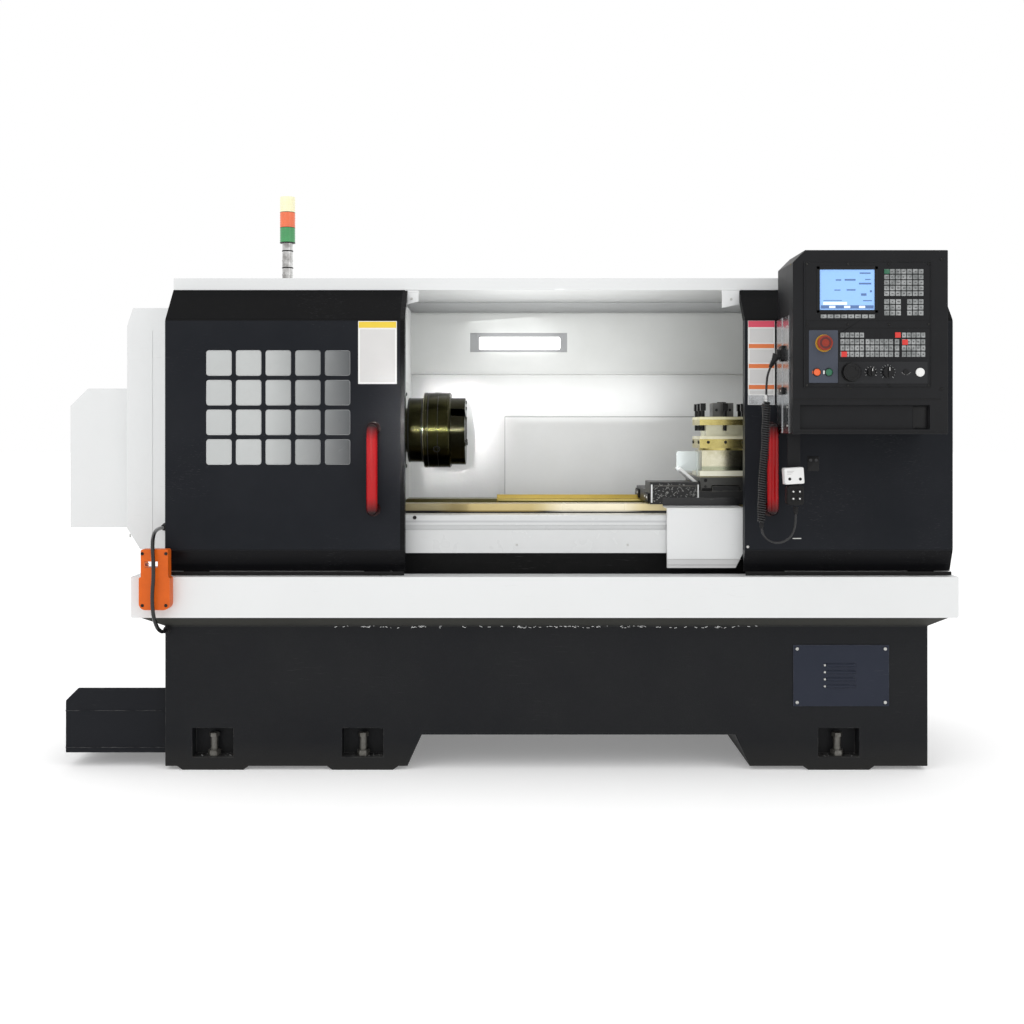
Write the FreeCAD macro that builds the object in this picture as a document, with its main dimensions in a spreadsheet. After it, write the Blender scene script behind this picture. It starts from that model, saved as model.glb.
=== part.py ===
import FreeCAD, Part
import math
import os

import Sketcher

# A flat-bed CNC turning lathe inside a sliding-door guard, in millimetres.
# +X points to the tailstock end, +Y to the rear and +Z up. The origin lies on the
# floor under the middle of the machine.

doc = FreeCAD.newDocument("turning_lathe")
sheet = doc.addObject("Spreadsheet::Sheet", "Sizes")
nodes = {}


class Size:
    """A length as a number and as the spreadsheet expression that gives it."""

    def __init__(self, value, text):
        self.value = float(value)
        self.text = text

    def __add__(self, other):
        return Size(self.value + size(other).value, f"({self.text} + {size(other).text})")

    def __sub__(self, other):
        return Size(self.value - size(other).value, f"({self.text} - {size(other).text})")

    def __mul__(self, factor):
        return Size(self.value * factor, f"({self.text} * {factor})")

    def __truediv__(self, factor):
        return Size(self.value / factor, f"({self.text} / {factor})")

    def __neg__(self):
        return Size(-self.value, f"(0 - {self.text})")

    def __radd__(self, other):
        return size(other) + self

    def __rsub__(self, other):
        return size(other) - self


def size(thing):
    """A Size as it is, or a plain number as one."""
    return thing if isinstance(thing, Size) else Size(thing, f"({float(thing)!r})")


def cell(alias, value):
    """Writes one driving dimension into the sheet and returns it as a Size."""
    row = len(sheet.getUsedCells()) // 2 + 1
    sheet.set(f"A{row}", alias)
    sheet.set(f"B{row}", str(value))
    sheet.setAlias(f"B{row}", alias)
    return Size(value, f"Sizes.{alias}")


def bind(thing, path, value):
    """Ties one property of a document object to the sheet."""
    thing.setExpression(path, size(value).text)


def place(thing, at, rotation=None):
    """Puts an object at three bound coordinates, turned by an optional rotation."""
    if rotation is not None:
        thing.Placement = FreeCAD.Placement(FreeCAD.Vector(), rotation)
    for letter, value in zip("xyz", at):
        bind(thing, f"Placement.Base.{letter}", value)
    return thing


def turn(axis, degrees):
    return FreeCAD.Rotation(FreeCAD.Vector(*axis), degrees)


ALONG = {"X": turn((0, 1, 0), 90), "Y": turn((1, 0, 0), -90), "Z": FreeCAD.Rotation()}


def on_axis(axis, along, centre):
    """The point at one coordinate of a centre line given by its other two."""
    one, two = centre
    return {"X": (along, one, two), "Y": (one, along, two), "Z": (one, two, along)}[axis]


def box(x, y, z):
    """A block between two bounds along each axis."""
    block = doc.addObject("Part::Box", "block")
    for path, (low, high) in (("Length", x), ("Width", y), ("Height", z)):
        bind(block, path, size(high) - low)
    return place(block, (x[0], y[0], z[0]))


def rod(axis, start, end, radius, centre):
    """A cylinder between two coordinates of an axis, round a centre line."""
    bar = doc.addObject("Part::Cylinder", "rod")
    bind(bar, "Radius", radius)
    bind(bar, "Height", size(end) - start)
    return place(bar, on_axis(axis, start, centre), ALONG[axis])


def ball(at, radius):
    sphere = doc.addObject("Part::Sphere", "ball")
    bind(sphere, "Radius", radius)
    return place(sphere, at)


def cut(base, *tools):
    """The base with every tool taken away."""
    for tool in tools:
        result = doc.addObject("Part::Cut", "cut")
        result.Base = base
        result.Tool = tool
        base = result
    return base


def fuse(*shapes):
    """All the shapes as one solid."""
    joined = doc.addObject("Part::MultiFuse", "joined")
    joined.Shapes = list(shapes)
    joined.Refine = True
    return joined


def group(*shapes):
    """Separate solids that share one node."""
    together = doc.addObject("Part::Compound", "group")
    together.Links = list(shapes)
    return together


def tray_shell(x, y, z, wall, open_side=None):
    """A sheet-metal box with walls of one thickness, open on one side if named."""
    outer = {"x": x, "y": y, "z": z}
    inner = {axis: [low + wall, high - wall] for axis, (low, high) in outer.items()}
    if open_side is not None:
        axis, end = open_side
        inner[axis][end] = outer[axis][end]
    return cut(box(x, y, z), box(inner["x"], inner["y"], inner["z"]))


def outline(body, plane, loops, offset=0):
    """A sketch on one of the body's own planes with its corners tied to the sheet."""
    sketch = body.newObject("Sketcher::SketchObject", "outline")
    role = f"{plane}_Plane"
    support = next(part for part in body.Origin.OriginFeatures if part.Role == role)
    sketch.AttachmentSupport = [(support, "")]
    sketch.MapMode = "FlatFace"
    bind(sketch, "AttachmentOffset.Base.z", offset)
    for corners in loops:
        first = sketch.GeometryCount
        corners = [(size(across), size(up)) for across, up in corners]
        points = [FreeCAD.Vector(across.value, up.value, 0) for across, up in corners]
        for start, end in zip(points, points[1:] + points[:1]):
            sketch.addGeometry(Part.LineSegment(start, end))
        for index in range(len(points)):
            following = first + (index + 1) % len(points)
            sketch.addConstraint(Sketcher.Constraint("Coincident", first + index, 2, following, 1))
        for index, corner in enumerate(corners):
            for kind, value in zip(("DistanceX", "DistanceY"), corner):
                number = sketch.addConstraint(
                    Sketcher.Constraint(kind, -1, 1, first + index, 1, value.value))
                bind(sketch, f"Constraints[{number}]", value)
    return sketch


class Prism:
    """A PartDesign body padded from an outline, with pockets and fillets along it."""

    def __init__(self, plane, corners, start, end):
        self.plane, self.start, self.end = plane, size(start), size(end)
        self.body = doc.addObject("PartDesign::Body", "prism")
        pad = self.body.newObject("PartDesign::Pad", "pad")
        pad.Profile = outline(self.body, plane, [corners])
        bind(pad, "Length", self.end - self.start)
        self.body.Tip = pad
        places = {"YZ": (start, 0, 0), "XY": (0, 0, start), "XZ": (0, end, 0)}
        place(self.body, places[plane])

    def pocket(self, loops, start, end):
        """Cuts outlines between two coordinates along the prism's own direction."""
        forward = self.plane != "XZ"
        offset = size(end) - self.start if forward else self.end - start
        feature = self.body.newObject("PartDesign::Pocket", "pocket")
        feature.Profile = outline(self.body, self.plane, loops, offset)
        bind(feature, "Length", size(end) - start)
        self.body.Tip = feature
        return feature

    def repeat(self, feature, pitch, count):
        """Repeats a pocket along the sketch's first axis."""
        pattern = self.body.newObject("PartDesign::LinearPattern", "pattern")
        pattern.Originals = [feature]
        pattern.Direction = (feature.Profile[0], ["H_Axis"])
        bind(pattern, "Length", pitch * (count - 1))
        pattern.Occurrences = count
        self.body.Tip = pattern
        return pattern

    def fillet(self, radius, *corners):
        """Rounds the edges that run the whole pad at the given outline corners."""
        doc.recompute()
        names = []
        spots = [(size(across).value, size(up).value) for across, up in corners]
        normal = {"YZ": (1, 2), "XY": (0, 1), "XZ": (0, 2)}[self.plane]
        tip = self.body.Tip
        for number, edge in enumerate(tip.Shape.Edges, start=1):
            ends = [vertex.Point for vertex in edge.Vertexes]
            flat = {tuple(round(point[axis], 3) for axis in normal) for point in ends}
            if len(ends) == 2 and len(flat) == 1:
                across, up = flat.pop()
                if any(abs(across - a) < 0.01 and abs(up - b) < 0.01 for a, b in spots):
                    names.append(f"Edge{number}")
        feature = self.body.newObject("PartDesign::Fillet", "fillet")
        feature.Base = (tip, names)
        bind(feature, "Radius", radius)
        self.body.Tip = feature
        return feature


def turned(axis, outline_points, centre):
    """A revolved body: outline points are (place along the axis, radius)."""
    body = doc.addObject("PartDesign::Body", "turned")
    plane = {"X": "XZ", "Y": "YZ", "Z": "XZ"}[axis]
    if axis == "Z":
        outline_points = [(radius, along) for along, radius in outline_points]
    revolution = body.newObject("PartDesign::Revolution", "revolution")
    sketch = outline(body, plane, [outline_points])
    revolution.Profile = sketch
    revolution.ReferenceAxis = (sketch, ["V_Axis" if axis == "Z" else "H_Axis"])
    revolution.Angle = 360
    body.Tip = revolution
    return place(body, on_axis(axis, 0, centre))


def rectangle(across, up):
    return [(across[0], up[0]), (across[1], up[0]), (across[1], up[1]), (across[0], up[1])]


def sheet_profile(corners, wall):
    """A bent sheet's section: the corners, and back again one wall further in."""
    return corners + [(across + wall, up) for across, up in reversed(corners)]


def add(name, thing):
    """Names a finished sub-part after its node."""
    thing = thing.body if isinstance(thing, Prism) else thing
    thing.Label = name
    nodes[name] = thing
    return thing


def bent_tube(points, radius):
    """A cord's solid: straight runs joined by tangent arcs as large as the runs allow."""
    points = [FreeCAD.Vector(*point) for point in points]
    edges, bends, here = [], [], points[0]
    for before, corner, after in zip(points, points[1:], points[2:]):
        setback = 0.45 * min((corner - before).Length, (after - corner).Length)
        inward, outward = (corner - before).normalize(), (after - corner).normalize()
        half_turn = inward.getAngle(outward) / 2
        bend = setback / math.tan(half_turn)
        sagitta = bend / math.cos(half_turn) - bend
        middle = corner + (outward - inward).normalize() * sagitta
        begin, finish = corner - inward * setback, corner + outward * setback
        edges.append(Part.LineSegment(here, begin).toShape())
        edges.append(Part.Arc(begin, middle, finish).toShape())
        bends.append(bend)
        here = finish
    edges.append(Part.LineSegment(here, points[-1]).toShape())
    path = Part.Wire(edges)
    ring = Part.Wire([Part.makeCircle(radius, points[0], points[1] - points[0])])
    tube = path.makePipeShell([ring], True, False)
    excess = tube.Volume / (math.pi * radius ** 2 * path.Length) - 1
    print("cord radii", [round(bend) for bend in bends], "length", round(path.Length),
          "volume off by", round(excess, 5))
    return tube


# ---------------------------------------------------------------- driving dimensions

# Room left between pieces
seat = cell("seat", 0.3)                        # gap where one piece rests beside another
slide_play = cell("slide_play", 0.05)           # gap of a scraped slide
shaft_play = cell("shaft_play", 0.03)           # radial gap of a shaft in its bore
hole_play = cell("hole_play", 1.0)              # radial gap of a bolt or shaft in a hole
pass_gap = cell("pass_gap", 4.0)                # gap between covers that slide past
sheet_wall = cell("sheet_wall", 3.0)            # folded covers and guards

# Foot of the machine
base_left = cell("base_left", -1049)
base_right = cell("base_right", 1334)
base_front = cell("base_front", -440)
base_back = cell("base_back", 400)
base_top = cell("base_top", 450)                # where the casting flares out to the tray
base_wall = cell("base_wall", 18)
foot_drop = cell("foot_drop", 12)               # machined pads below the foot
arch_left = cell("arch_left", -292)             # arch at the floor
arch_right = cell("arch_right", 778)
arch_top = cell("arch_top", 110)
arch_slant = cell("arch_slant", 45)             # how far each side leans in
flare_rise = cell("flare_rise", 34)
foot_hollow_inset = cell("foot_hollow_inset", 95)
foot_hollow_top = cell("foot_hollow_top", 100)
jack_inset = cell("jack_inset", 25)             # levelling screw behind the foot's face
jack_radius = cell("jack_radius", 12)
niche_wide = cell("niche_wide", 128)
niche_deep = cell("niche_deep", 50)
niche_low = cell("niche_low", 41)
niche_high = cell("niche_high", 131)
jack_one = cell("jack_one", -900)
jack_two = cell("jack_two", -432)
jack_three = cell("jack_three", 1056)
pad_reach = cell("pad_reach", 112)
pad_lean = cell("pad_lean", 17)
service_left = cell("service_left", 913)
service_right = cell("service_right", 1212)
service_low = cell("service_low", 200)
service_high = cell("service_high", 391)

# Drip tray
tray_left = cell("tray_left", -1138)
tray_right = cell("tray_right", 1410)
tray_front = cell("tray_front", -500)
tray_back = cell("tray_back", 440)
tray_high = cell("tray_high", 126)
rim_front = cell("rim_front", 88)
rim_left = cell("rim_left", 108)
rim_right = cell("rim_right", 19)
rim_back = cell("rim_back", 52)
chute_left = cell("chute_left", -560)
chute_right = cell("chute_right", 900)
chute_front = cell("chute_front", -190)
chute_back = cell("chute_back", 50)

# Bed, spindle line and covers on it
bed_left = cell("bed_left", -900)
bed_right = cell("bed_right", 1290)
bed_front = cell("bed_front", -270)
bed_back = cell("bed_back", 130)
way_top = cell("way_top", 822)
way_wide = cell("way_wide", 80)
way_thick = cell("way_thick", 32)
vee_middle = cell("vee_middle", 75)             # crest of the raised rear way
vee_rise = cell("vee_rise", 14)
vee_start = cell("vee_start", -18)              # the crest stops short of the gap
bed_web = cell("bed_web", 40)
axis_y = cell("axis_y", -70)
centre_height = cell("centre_height", 240)
screw_y = cell("screw_y", -336)
screw_drop = cell("screw_drop", 94)             # feed screw below the way tops
screw_radius = cell("screw_radius", 18)
lug_long = cell("lug_long", 60)
lug_radius = cell("lug_radius", 34)
cover_front = cell("cover_front", -400)
cover_low = cell("cover_low", 674)
cover_high = cell("cover_high", 794)

# Headstock and spindle
head_right = cell("head_right", -330)
head_front = cell("head_front", -230)
head_back = cell("head_back", 90)
head_high = cell("head_high", 408)              # height above the ways
head_wall = cell("head_wall", 60)
spindle_radius = cell("spindle_radius", 55)
spindle_bore = cell("spindle_bore", 41)
bearing_radius = cell("bearing_radius", 90)
bearing_wide = cell("bearing_wide", 45)
nose_radius = cell("nose_radius", 109)
nose_left = cell("nose_left", -316)
nose_thick = cell("nose_thick", 54)
chuck_radius = cell("chuck_radius", 127)
chuck_thick = cell("chuck_thick", 92)
jaw_reach = cell("jaw_reach", 48)
jaw_inner = cell("jaw_inner", 60)
jaw_outer = cell("jaw_outer", 118)
jaw_flat = cell("jaw_flat", 108)                # the flat on each jaw's crown
jaw_gap = cell("jaw_gap", 14.5)                 # half the space between two jaws
jaw_step = cell("jaw_step", 20)
key_wide = cell("key_wide", 24)
key_deep = cell("key_deep", 12)
spindle_tail = cell("spindle_tail", -1290)
pulley_left = cell("pulley_left", -1130)
pulley_wide = cell("pulley_wide", 74)
pulley_radius = cell("pulley_radius", 110)
motor_y = cell("motor_y", 240)
motor_z = cell("motor_z", 830)
motor_radius = cell("motor_radius", 100)
motor_left = cell("motor_left", -1025)
motor_long = cell("motor_long", 380)
motor_shaft = cell("motor_shaft", 19)
motor_pulley_radius = cell("motor_pulley_radius", 65)
belt_thick = cell("belt_thick", 9)

# Doors and guards
door_face = cell("door_face", -470)
door_low = cell("door_low", 622)
door_bend = cell("door_bend", 1403)             # the front leans back above this
door_lean = cell("door_lean", 100)
door_deep = cell("door_deep", 36)
lip_high = cell("lip_high", 68)
lip_round = cell("lip_round", 40)
left_door_left = cell("left_door_left", -1041)
left_door_right = cell("left_door_right", -297)
right_door_left = cell("right_door_left", 757)
right_door_right = cell("right_door_right", 1402)
partition_x = cell("partition_x", -345)
right_guard_left = cell("right_guard_left", 862)
pane_wide = cell("pane_wide", 80)
pane_pitch = cell("pane_pitch", 92)
pane_left = cell("pane_left", -914)
pane_low = cell("pane_low", 954)
pane_round = cell("pane_round", 9)
glass_thick = cell("glass_thick", 4)
handle_radius = cell("handle_radius", 17)
handle_proud = cell("handle_proud", 50)
handle_low = cell("handle_low", 800)
handle_high = cell("handle_high", 1084)
left_handle_x = cell("left_handle_x", -394)
right_handle_x = cell("right_handle_x", 834)
roof_low = cell("roof_low", 1507)
roof_high = cell("roof_high", 1545)
tongue_high = cell("tongue_high", 29)
back_face = cell("back_face", 400)
beam_front = cell("beam_front", 330)
beam_low = cell("beam_low", 1270)
beam_high = cell("beam_high", 1497)
lamp_left = cell("lamp_left", -121)
lamp_right = cell("lamp_right", 240)
lamp_low = cell("lamp_low", 1352)
lamp_high = cell("lamp_high", 1423)
lamp_deep = cell("lamp_deep", 26)
hatch_left = cell("hatch_left", -10)
hatch_right = cell("hatch_right", 960)
hatch_low = cell("hatch_low", 640)
hatch_high = cell("hatch_high", 1130)
hatch_proud = cell("hatch_proud", 6)
belt_guard_left = cell("belt_guard_left", -1201)
belt_guard_front = cell("belt_guard_front", -330)
belt_guard_low = cell("belt_guard_low", 680)
belt_guard_high = cell("belt_guard_high", 1454)
belt_guard_corner = cell("belt_guard_corner", 42)
end_cover_left = cell("end_cover_left", -1410)
end_cover_front = cell("end_cover_front", -250)
end_cover_back = cell("end_cover_back", 110)
end_cover_low = cell("end_cover_low", 744)
end_cover_high = cell("end_cover_high", 1198)
end_cover_corner = cell("end_cover_corner", 57)

# Carriage, tool post and tailstock
saddle_left = cell("saddle_left", 481)
saddle_right = cell("saddle_right", 830)
saddle_front = cell("saddle_front", -300)
saddle_back = cell("saddle_back", 150)
saddle_thick = cell("saddle_thick", 43)
wing_right = cell("wing_right", 642)
wing_high = cell("wing_high", 72)
apron_left = cell("apron_left", 522)
apron_right = cell("apron_right", 768)
apron_front = cell("apron_front", -420)
apron_low = cell("apron_low", 629)
apron_high = cell("apron_high", 817)
apron_corner = cell("apron_corner", 62)
bracket_thick = cell("bracket_thick", 25)
nut_left = cell("nut_left", 570)
nut_long = cell("nut_long", 80)
nut_radius = cell("nut_radius", 32)
cross_left = cell("cross_left", 644)
cross_right = cell("cross_right", 812)
cross_front = cell("cross_front", -290)
cross_back = cell("cross_back", 60)
cross_thick = cell("cross_thick", 48)
tee_wide = cell("tee_wide", 90)
tee_deep = cell("tee_deep", 16)
post_y = cell("post_y", -200)
post_plate = cell("post_plate", 17)
post_block = cell("post_block", 66)
post_block_inset = cell("post_block_inset", 8)
turret_half = cell("turret_half", 84)
turret_neck = cell("turret_neck", 7)
turret_plate = cell("turret_plate", 39)
tool_slot = cell("tool_slot", 36)
tool_slot_deep = cell("tool_slot_deep", 24)
turret_top = cell("turret_top", 27)
cap_half = cell("cap_half", 34)
cap_high = cell("cap_high", 46)
clamp_radius = cell("clamp_radius", 6)
clamp_head = cell("clamp_head", 17)
clamp_stand = cell("clamp_stand", 20)
clamp_head_high = cell("clamp_head_high", 24)
clamp_reach = cell("clamp_reach", 18)
tail_left = cell("tail_left", 1020)
tail_right = cell("tail_right", 1260)
tail_front = cell("tail_front", -235)
tail_back = cell("tail_back", 115)
tail_sole = cell("tail_sole", 58)
tail_web = cell("tail_web", 110)
barrel_radius = cell("barrel_radius", 62)
quill_radius = cell("quill_radius", 35)
quill_left = cell("quill_left", 1008)
quill_long = cell("quill_long", 222)
centre_radius = cell("centre_radius", 16)
centre_long = cell("centre_long", 28)

# Electrical cabinet, control box and lamps
cabinet_left = cell("cabinet_left", 100)
cabinet_right = cell("cabinet_right", 1100)
cabinet_low = cell("cabinet_low", 640)
cabinet_high = cell("cabinet_high", 1420)
cabinet_back = cell("cabinet_back", 700)
cabinet_door_thick = cell("cabinet_door_thick", 20)
console_left = cell("console_left", 857)
console_right = cell("console_right", 1311)
console_front = cell("console_front", -695)
console_back = cell("console_back", -483)
console_low = cell("console_low", 1050)
console_high = cell("console_high", 1589)
console_wall = cell("console_wall", 4)
console_corner = cell("console_corner", 36)
console_split = cell("console_split", 1173)     # line between the panel and the drawer
bezel_left = cell("bezel_left", 892)
bezel_right = cell("bezel_right", 1258)
bezel_low = cell("bezel_low", 1188)
bezel_high = cell("bezel_high", 1553)
bezel_proud = cell("bezel_proud", 3)
screen_left = cell("screen_left", 935)
screen_right = cell("screen_right", 1096)
screen_low = cell("screen_low", 1413)
screen_high = cell("screen_high", 1532)
screen_deep = cell("screen_deep", 6)
drawer_left = cell("drawer_left", 878)
drawer_right = cell("drawer_right", 1258)
drawer_low = cell("drawer_low", 1064)
drawer_high = cell("drawer_high", 1135)
drawer_deep = cell("drawer_deep", 14)
rail_low = cell("rail_low", 1053)
rail_high = cell("rail_high", 1402)
rail_thick = cell("rail_thick", 4)
rail_front = cell("rail_front", -655)
groove_front = cell("groove_front", -599)
groove_back = cell("groove_back", -557)
control_front = cell("control_front", -720)     # the knobs' and buttons' faces
lower_row = cell("lower_row", 1231)
stop_x = cell("stop_x", 947)
stop_z = cell("stop_z", 1316)
stop_radius = cell("stop_radius", 22)
stop_head = cell("stop_head", 12)
stem_radius = cell("stem_radius", 8)
stem_end = cell("stem_end", 14)                 # stems reach this far behind the skin
push_radius = cell("push_radius", 10)
push_proud = cell("push_proud", 9)
push_head = cell("push_head", 5)
feed_stop_x = cell("feed_stop_x", 926)
feed_start_x = cell("feed_start_x", 961)
jog_x = cell("jog_x", 1026)
jog_radius = cell("jog_radius", 26)
jog_head = cell("jog_head", 16)
feed_knob_x = cell("feed_knob_x", 1084)
feed_knob_radius = cell("feed_knob_radius", 12)
speed_knob_x = cell("speed_knob_x", 1134)
speed_knob_radius = cell("speed_knob_radius", 16)
knob_head = cell("knob_head", 13)
knob_back = cell("knob_back", 6)                # set back from the buttons' faces
arm_left = cell("arm_left", 960)
arm_right = cell("arm_right", 1240)
arm_back = cell("arm_back", -200)
arm_thick = cell("arm_thick", 8)
arm_low = cell("arm_low", 1500)
arm_high = cell("arm_high", 1580)
pendant_left = cell("pendant_left", 839)
pendant_right = cell("pendant_right", 905)
pendant_front = cell("pendant_front", -640)
pendant_back = cell("pendant_back", -600)
pendant_low = cell("pendant_low", 833)
pendant_high = cell("pendant_high", 958)
hanger_left = cell("hanger_left", 862)
hanger_right = cell("hanger_right", 900)
hanger_low = cell("hanger_low", 885)
gland_y = cell("gland_y", -585)
gland_z = cell("gland_z", 1290)
gland_radius = cell("gland_radius", 22)
lead_radius = cell("lead_radius", 3.5)
curl_radius = cell("curl_radius", 14)
cable_radius = cell("cable_radius", 6)
hook_left = cell("hook_left", -1103)
hook_right = cell("hook_right", -1008)
hook_low = cell("hook_low", 513)
hook_high = cell("hook_high", 698)
hook_thick = cell("hook_thick", 38)
hook_slot_low = cell("hook_slot_low", 643)
hook_slot_high = cell("hook_slot_high", 661)
hook_slot_left = cell("hook_slot_left", -1085)
hook_slot_right = cell("hook_slot_right", -1045)
tank_left = cell("tank_left", -1373)
tank_front = cell("tank_front", -400)
tank_back = cell("tank_back", 300)
tank_low = cell("tank_low", 44)
tank_high = cell("tank_high", 249)
tank_corner = cell("tank_corner", 40)
tank_fall = cell("tank_fall", 140)              # how far the lid drops to the rear
beacon_x = cell("beacon_x", -699)
beacon_y = cell("beacon_y", -250)
beacon_radius = cell("beacon_radius", 24.5)
beacon_pole = cell("beacon_pole", 17)
beacon_stand = cell("beacon_stand", 128)
beacon_tier = cell("beacon_tier", 50)

# Heights and places that follow from the sizes above
spindle_z = way_top + centre_height
spindle_line = (axis_y, spindle_z)
tray_low = base_top + flare_rise
tray_top = tray_low + tray_high
tray_floor = tray_low + sheet_wall
niches = [jack_one, jack_two, jack_three]
saddle_top = way_top + saddle_thick
post_base = saddle_top + cross_thick
post_top = post_base + post_plate + post_block
slot_low = post_top + turret_neck + turret_plate
slot_high = slot_low + tool_slot
turret_high = slot_high + turret_top
post_x = (cross_left + cross_right) / 2
chuck_left = nose_left + nose_thick
chuck_right = chuck_left + chuck_thick
vee_half = vee_rise + 1
screw_z = way_top - screw_drop
screw_line = (screw_y, screw_z)
guard_face = door_face + door_deep + pass_gap
rail_face = console_left - rail_thick
bezel_face = console_front - bezel_proud
stem_tip = console_front + stem_end


# ---------------------------------------------------------------- base and tray

def base_casting():
    body = Prism("XZ", [
        (base_left, foot_drop), (arch_left, foot_drop), (arch_left + arch_slant, arch_top),
        (arch_right - arch_slant, arch_top), (arch_right, foot_drop), (base_right, foot_drop),
        (base_right, base_top), (base_left, base_top)], base_front, base_back)
    flare = doc.addObject("Part::Wedge", "flare")
    lip = flare_rise / 2
    for path, value in {
            "Xmin": base_left, "Xmax": base_right, "Zmin": -base_back, "Zmax": -base_front,
            "X2min": tray_left + lip, "X2max": tray_right - lip, "Z2min": -(tray_back - lip),
            "Z2max": -(tray_front + lip), "Ymin": base_top, "Ymax": tray_low}.items():
        bind(flare, path, value)
    flare.Placement = FreeCAD.Placement(FreeCAD.Vector(), turn((1, 0, 0), 90))
    pads = []
    for jack in niches:
        for low, high in ((base_front, base_front + foot_hollow_inset),
                          (base_back - foot_hollow_inset, base_back)):
            pads.append(Prism("XZ", [
                (jack - pad_reach, foot_drop), (jack - pad_reach + pad_lean, 0),
                (jack + pad_reach - pad_lean, 0), (jack + pad_reach, foot_drop)], low, high).body)
    hollow = [
        box((base_left + base_wall, base_right - base_wall),
            (base_front + base_wall, base_back - base_wall),
            (arch_top + base_wall * 2, base_top - base_wall)),
        box((chute_left, chute_right), (chute_front, chute_back),
            (base_top - base_wall, tray_low)),
        box((service_left + base_wall, service_right - base_wall),
            (base_front, base_front + base_wall),
            (service_low + base_wall, service_high - base_wall))]
    foot_y = (base_front + foot_hollow_inset, base_back - foot_hollow_inset)
    for low, high in ((base_left + foot_hollow_inset, arch_left - base_wall),
                      (arch_right + base_wall, base_right - foot_hollow_inset)):
        hollow.append(box((low, high), foot_y, (0, foot_hollow_top)))
    for jack in niches:
        for mouth, back, line in (
                (base_front, base_front + niche_deep, base_front + jack_inset),
                (base_back - niche_deep, base_back, base_back - jack_inset)):
            hollow.append(box((jack - niche_wide / 2, jack + niche_wide / 2), (mouth, back),
                              (niche_low, niche_high)))
            hollow.append(rod("Z", 0, niche_low, jack_radius + hole_play, (jack, line)))
    return cut(fuse(body.body, flare, *pads), *hollow)


def hexagon(low, high, corner_radius, centre):
    nut = doc.addObject("Part::Prism", "hexagon")
    nut.Polygon = 6
    bind(nut, "Circumradius", corner_radius)
    bind(nut, "Height", size(high) - low)
    return place(nut, (centre[0], centre[1], low))


def levelling_bolts():
    bolts = []
    for jack in niches:
        for line in (base_front + jack_inset, base_back - jack_inset):
            centre = (jack, line)
            top = niche_low + jack_radius * 5
            bolts.append(fuse(
                rod("Z", 0, top, jack_radius, centre),
                hexagon(niche_low, niche_low + jack_radius * 1.5, jack_radius * 1.7, centre),
                hexagon(top, top + jack_radius, jack_radius * 1.4, centre)))
    return group(*bolts)


louvre_left = cell("louvre_left", 1016)
louvre_long = cell("louvre_long", 90)
louvre_low = cell("louvre_low", 262)
louvre_pitch = cell("louvre_pitch", 22)
louvre_radius = cell("louvre_radius", 5)


def access_plate():
    face = base_front - sheet_wall
    plate = box((service_left, service_right), (face, base_front), (service_low, service_high))
    louvres = [rod("X", louvre_left, louvre_left + louvre_long, louvre_radius,
                   (face, louvre_low + louvre_pitch * number)) for number in range(4)]
    return fuse(plate, *louvres)


def drip_tray():
    outer = Prism("XZ", rectangle((tray_left, tray_right), (tray_low, tray_top)),
                  tray_front, tray_back)
    outer.fillet(sheet_wall * 2, (tray_left, tray_low), (tray_right, tray_low))
    inner = box((tray_left + sheet_wall, tray_right - sheet_wall),
                (tray_front + sheet_wall, tray_back - sheet_wall),
                (tray_floor, tray_top - sheet_wall))
    mouth = box((tray_left + rim_left, tray_right - rim_right),
                (tray_front + rim_front, tray_back - rim_back),
                (tray_top - sheet_wall, tray_top))
    chute = box((chute_left, chute_right), (chute_front, chute_back), (tray_low, tray_floor))
    return cut(outer.body, inner, mouth, chute)


# ---------------------------------------------------------------- bed, screw and cover

rear_way = cell("rear_way", 90)
web_drop = cell("web_drop", 122)
bed_recess = cell("bed_recess", 10)
bed_side = cell("bed_side", 45)
bed_end = cell("bed_end", 30)
lug_left = cell("lug_left", -560)
lug_right = cell("lug_right", 1180)
window_long = cell("window_long", 200)
window_pitch = cell("window_pitch", 280)
window_left = cell("window_left", -330)
cover_sheet = cell("cover_sheet", 2)
cover_step = cell("cover_step", 4)
cover_round = cell("cover_round", 32)
cover_groove = cell("cover_groove", 15)
cover_over = cell("cover_over", 26)


def bed_casting():
    web_top = way_top - web_drop
    skin = bed_front + bed_recess
    way_low = way_top - way_thick
    rear_edge = bed_back - rear_way
    body = Prism("YZ", [
        (skin, tray_floor), (skin, way_low), (bed_front, way_low), (bed_front, way_top),
        (bed_front + way_wide, way_top), (bed_front + way_wide, web_top),
        (rear_edge, web_top), (rear_edge, way_top), (vee_middle - vee_half, way_top),
        (vee_middle, way_top + vee_rise), (vee_middle + vee_half, way_top),
        (bed_back, way_top), (bed_back, tray_floor)], bed_left, bed_right)
    body.pocket([rectangle((bed_front + bed_side, bed_back - bed_side),
                           (tray_floor, web_top - bed_web))],
                bed_left + bed_end, bed_right - bed_end)
    lugs = [box((left, left + lug_long), (screw_y - lug_radius, skin + 1),
                (screw_z - lug_radius, screw_z + lug_radius)) for left in (lug_left, lug_right)]
    gap = box((bed_left, vee_start), (vee_middle - vee_half, vee_middle + vee_half),
              (way_top, way_top + vee_rise))
    windows = []
    for number in range(5):
        left = window_left + window_pitch * number
        windows.append(box((left, left + window_long),
                           (bed_front + way_wide + bed_side, rear_edge - bed_side),
                           (web_top - bed_web, web_top)))
    journal = rod("X", lug_left, lug_right + lug_long, screw_radius + shaft_play, screw_line)
    return cut(fuse(body.body, *lugs), gap, journal, *windows)


def z_ball_screw():
    return rod("X", lug_left, lug_right + lug_long, screw_radius, screw_line)


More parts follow.
